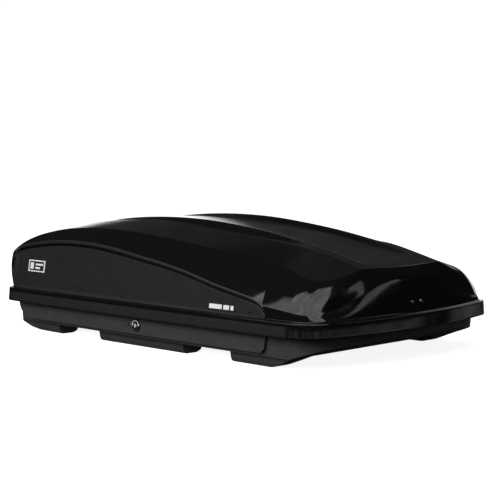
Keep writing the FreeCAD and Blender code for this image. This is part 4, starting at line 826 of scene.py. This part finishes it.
def make_collar():
    """The black collar round the bright core of the key barrel."""
    around = 36
    points = [lock_point(radius, 2 * math.pi * step / around, out)
              for radius, out in COLLAR for step in range(around)]
    count = len(points)
    faces = [tuple(corner % count for corner in face)
             for face in ring_faces(len(COLLAR) + 1, around)]
    made = new_mesh_object("key_barrel_collar", points, faces)
    made.data.materials.append(materials["black_trim"])
    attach(made, "key_barrel")


make_collar()
make_badges()
make_rivet_heads()
make_ring_arrow()


# ---------------------------------------------------------------- stage, light and camera

def revolve(name, section, closed_floor=False):
    """A surface of revolution round the vertical axis, from (radius, height) pairs in metres."""
    around = STAGE_STEPS
    points = [(radius * math.cos(2 * math.pi * step / around) / MM,
               radius * math.sin(2 * math.pi * step / around) / MM, height / MM)
              for radius, height in section for step in range(around)]
    faces = ring_faces(len(section), around)
    if closed_floor:
        faces.append(tuple(reversed(range(around))))
    return new_mesh_object(name, points, faces)


STAGE_STEPS = 96
STAGE_RADIUS, STAGE_BEND, STAGE_HEIGHT = 9.0, 1.5, 5.0
DOME_RADIUS = 7.2
DOME_BRIGHTNESS = 0.014


def make_stage():
    """A pale floor that turns up into a round backdrop and glows up to plain white.

    Neither gloss nor diffuse light sees it, so that it doesn't light the box from below.
    """
    bend_steps = 8
    section = [(0.02, 0), (2, 0), (STAGE_RADIUS - STAGE_BEND, 0)]
    for index in range(1, bend_steps + 1):
        angle = math.pi / 2 * index / bend_steps
        section.append((STAGE_RADIUS - STAGE_BEND + STAGE_BEND * math.sin(angle),
                        STAGE_BEND - STAGE_BEND * math.cos(angle)))
    section.append((STAGE_RADIUS, STAGE_HEIGHT))
    stage = revolve("studio_floor", section, closed_floor=True)
    material = new_material("studio_pale", (0.9, 0.9, 0.9), 0.9)
    shade = spread(material, noise(material, 0.7, 2), 0, 1)
    set_input(material, "Base Color", blend_colours(material, shade, (0.88, 0.88, 0.88),
                                                    (0.92, 0.92, 0.92)))
    shader = material.node_tree.nodes["Principled BSDF"]
    shader.inputs["Emission Color"].default_value = (1, 1, 1, 1)
    shader.inputs["Emission Strength"].default_value = 0.9
    stage.data.materials.append(material)
    stage.visible_glossy = False
    stage.visible_diffuse = False


# Soft patches of light on the studio walls, as the gloss reflects them: azimuth and elevation
# limits in degrees, the width of their soft edges, brightness and how streaky they are.
GLOWS = (
    ("far_horizon", (95, 150, 10), (-12, 9, 8), 1.9, 0.3),
    ("far_wall", (100, 150, 8), (6, 38, 8), 0.05, 0.8),
    ("far_ceiling", (96, 136, 5), (34, 60, 6), 0.055, 0.6),
    ("far_strip", (86, 104, 4), (16, 42, 4), 0.9, 0.2),
    ("front_window", (24, 46, 3), (19, 26, 1.5), 1.2, 0.4),
    ("camera_softbox", (-135, 16, 6), (24, 80, 4), 2.3, 0.45),
    ("camera_horizon", (-110, 92, 5), (-16, 2, 3), 0.42, 1.0),
    ("barrel_glint", (-141, -127, 3), (-9, -1, 2), 0.9, 0.2),
)


def soft_step(material, value, low, high):
    node = add_node(material, "ShaderNodeMapRange", interpolation_type="SMOOTHSTEP")
    node.inputs["From Min"].default_value = low
    node.inputs["From Max"].default_value = high
    link(material, value, node.inputs["Value"])
    return node.outputs["Result"]


def between(material, value, limits):
    low, high, edge = limits
    return combine(material, "MULTIPLY", soft_step(material, value, low - edge / 2,
                                                   low + edge / 2),
                   soft_step(material, value, high + edge / 2, high - edge / 2))


def make_reflections():
    """The dark studio round the box, seen by its gloss alone, with soft patches of light."""
    rings = 48
    section = []
    for index in range(1, rings):
        angle = math.pi * (index / rings - 0.5)
        section.append((DOME_RADIUS * math.cos(angle), DOME_RADIUS * math.sin(angle)))
    dome = revolve("studio_walls", section)
    material = bpy.data.materials.new("studio_walls_glow")
    material.use_nodes = True
    nodes = material.node_tree.nodes
    nodes.remove(nodes["Principled BSDF"])
    glow = add_node(material, "ShaderNodeEmission")
    link(material, glow.outputs[0], nodes["Material Output"].inputs["Surface"])
    place = add_node(material, "ShaderNodeTexCoord").outputs["Object"]
    axes = add_node(material, "ShaderNodeSeparateXYZ")
    link(material, place, axes.inputs[0])
    azimuth = combine(material, "MULTIPLY", combine(material, "ARCTAN2", axes.outputs[1],
                                                    axes.outputs[0]), math.degrees(1))
    height = combine(material, "ARCSINE", combine(material, "DIVIDE", axes.outputs[2], DOME_RADIUS),
                     0)
    elevation = combine(material, "MULTIPLY", height, math.degrees(1))
    streaks = spread(material, noise(material, 0.55, 5, (1, 1, 0.35), 0.65), 0, 1, 0.38, 0.62)
    total = DOME_BRIGHTNESS
    for _, turn, rise, strength, streaky in GLOWS:
        patch = combine(material, "MULTIPLY", between(material, azimuth, turn),
                        between(material, elevation, rise))
        variation = combine(material, "MULTIPLY_ADD", streaks, streaky * strength)
        variation.node.inputs[2].default_value = (1 - streaky) * strength
        total = combine(material, "ADD", combine(material, "MULTIPLY", patch, variation), total)
    link(material, total, glow.inputs["Strength"])
    dome.data.materials.append(material)
    dome.visible_camera = False
    dome.visible_diffuse = False
    dome.visible_shadow = False


def point_at(thing, place, direction):
    thing.location = place
    thing.rotation_euler = direction.to_track_quat("-Z", "Y").to_euler()


def add_light(name, place, target, width, height, power):
    """A soft area light that the camera and the gloss don't see."""
    light = bpy.data.lights.new(name, "AREA")
    light.shape = "RECTANGLE"
    light.size, light.size_y = width, height
    light.energy = power
    made = bpy.data.objects.new(name, light)
    bpy.context.scene.collection.objects.link(made)
    point_at(made, place, Vector(target) - Vector(place))
    made.visible_camera = False
    made.visible_glossy = False


def make_lights():
    add_light("overhead_soft", (0, 0, 4.6), (0, 0, 0), 5, 5, 150)
    add_light("side_soft", (0.6, -4.5, 2.2), (0, 0, 0.2), 4, 2.5, 250)
    world = bpy.data.worlds.new("studio_dark")
    world.use_nodes = True
    background = world.node_tree.nodes["Background"]
    background.inputs["Color"].default_value = (0.01, 0.01, 0.011, 1)
    bpy.context.scene.world = world


CAMERA_PLACE = (2.9628, -2.9883, 0.6171)
CAMERA_DIRECTION = (-0.6975, 0.7119, -0.0818)
SENSOR_WIDTH, FOCAL_LENGTH = 36, 97.52


def make_camera():
    camera = bpy.data.cameras.new("photo_camera")
    camera.sensor_width = SENSOR_WIDTH
    camera.lens = FOCAL_LENGTH
    made = bpy.data.objects.new("photo_camera", camera)
    bpy.context.scene.collection.objects.link(made)
    point_at(made, CAMERA_PLACE, Vector(CAMERA_DIRECTION))
    bpy.context.scene.camera = made


make_stage()
make_reflections()
make_lights()
make_camera()
bpy.context.scene.view_settings.view_transform = "Standard"
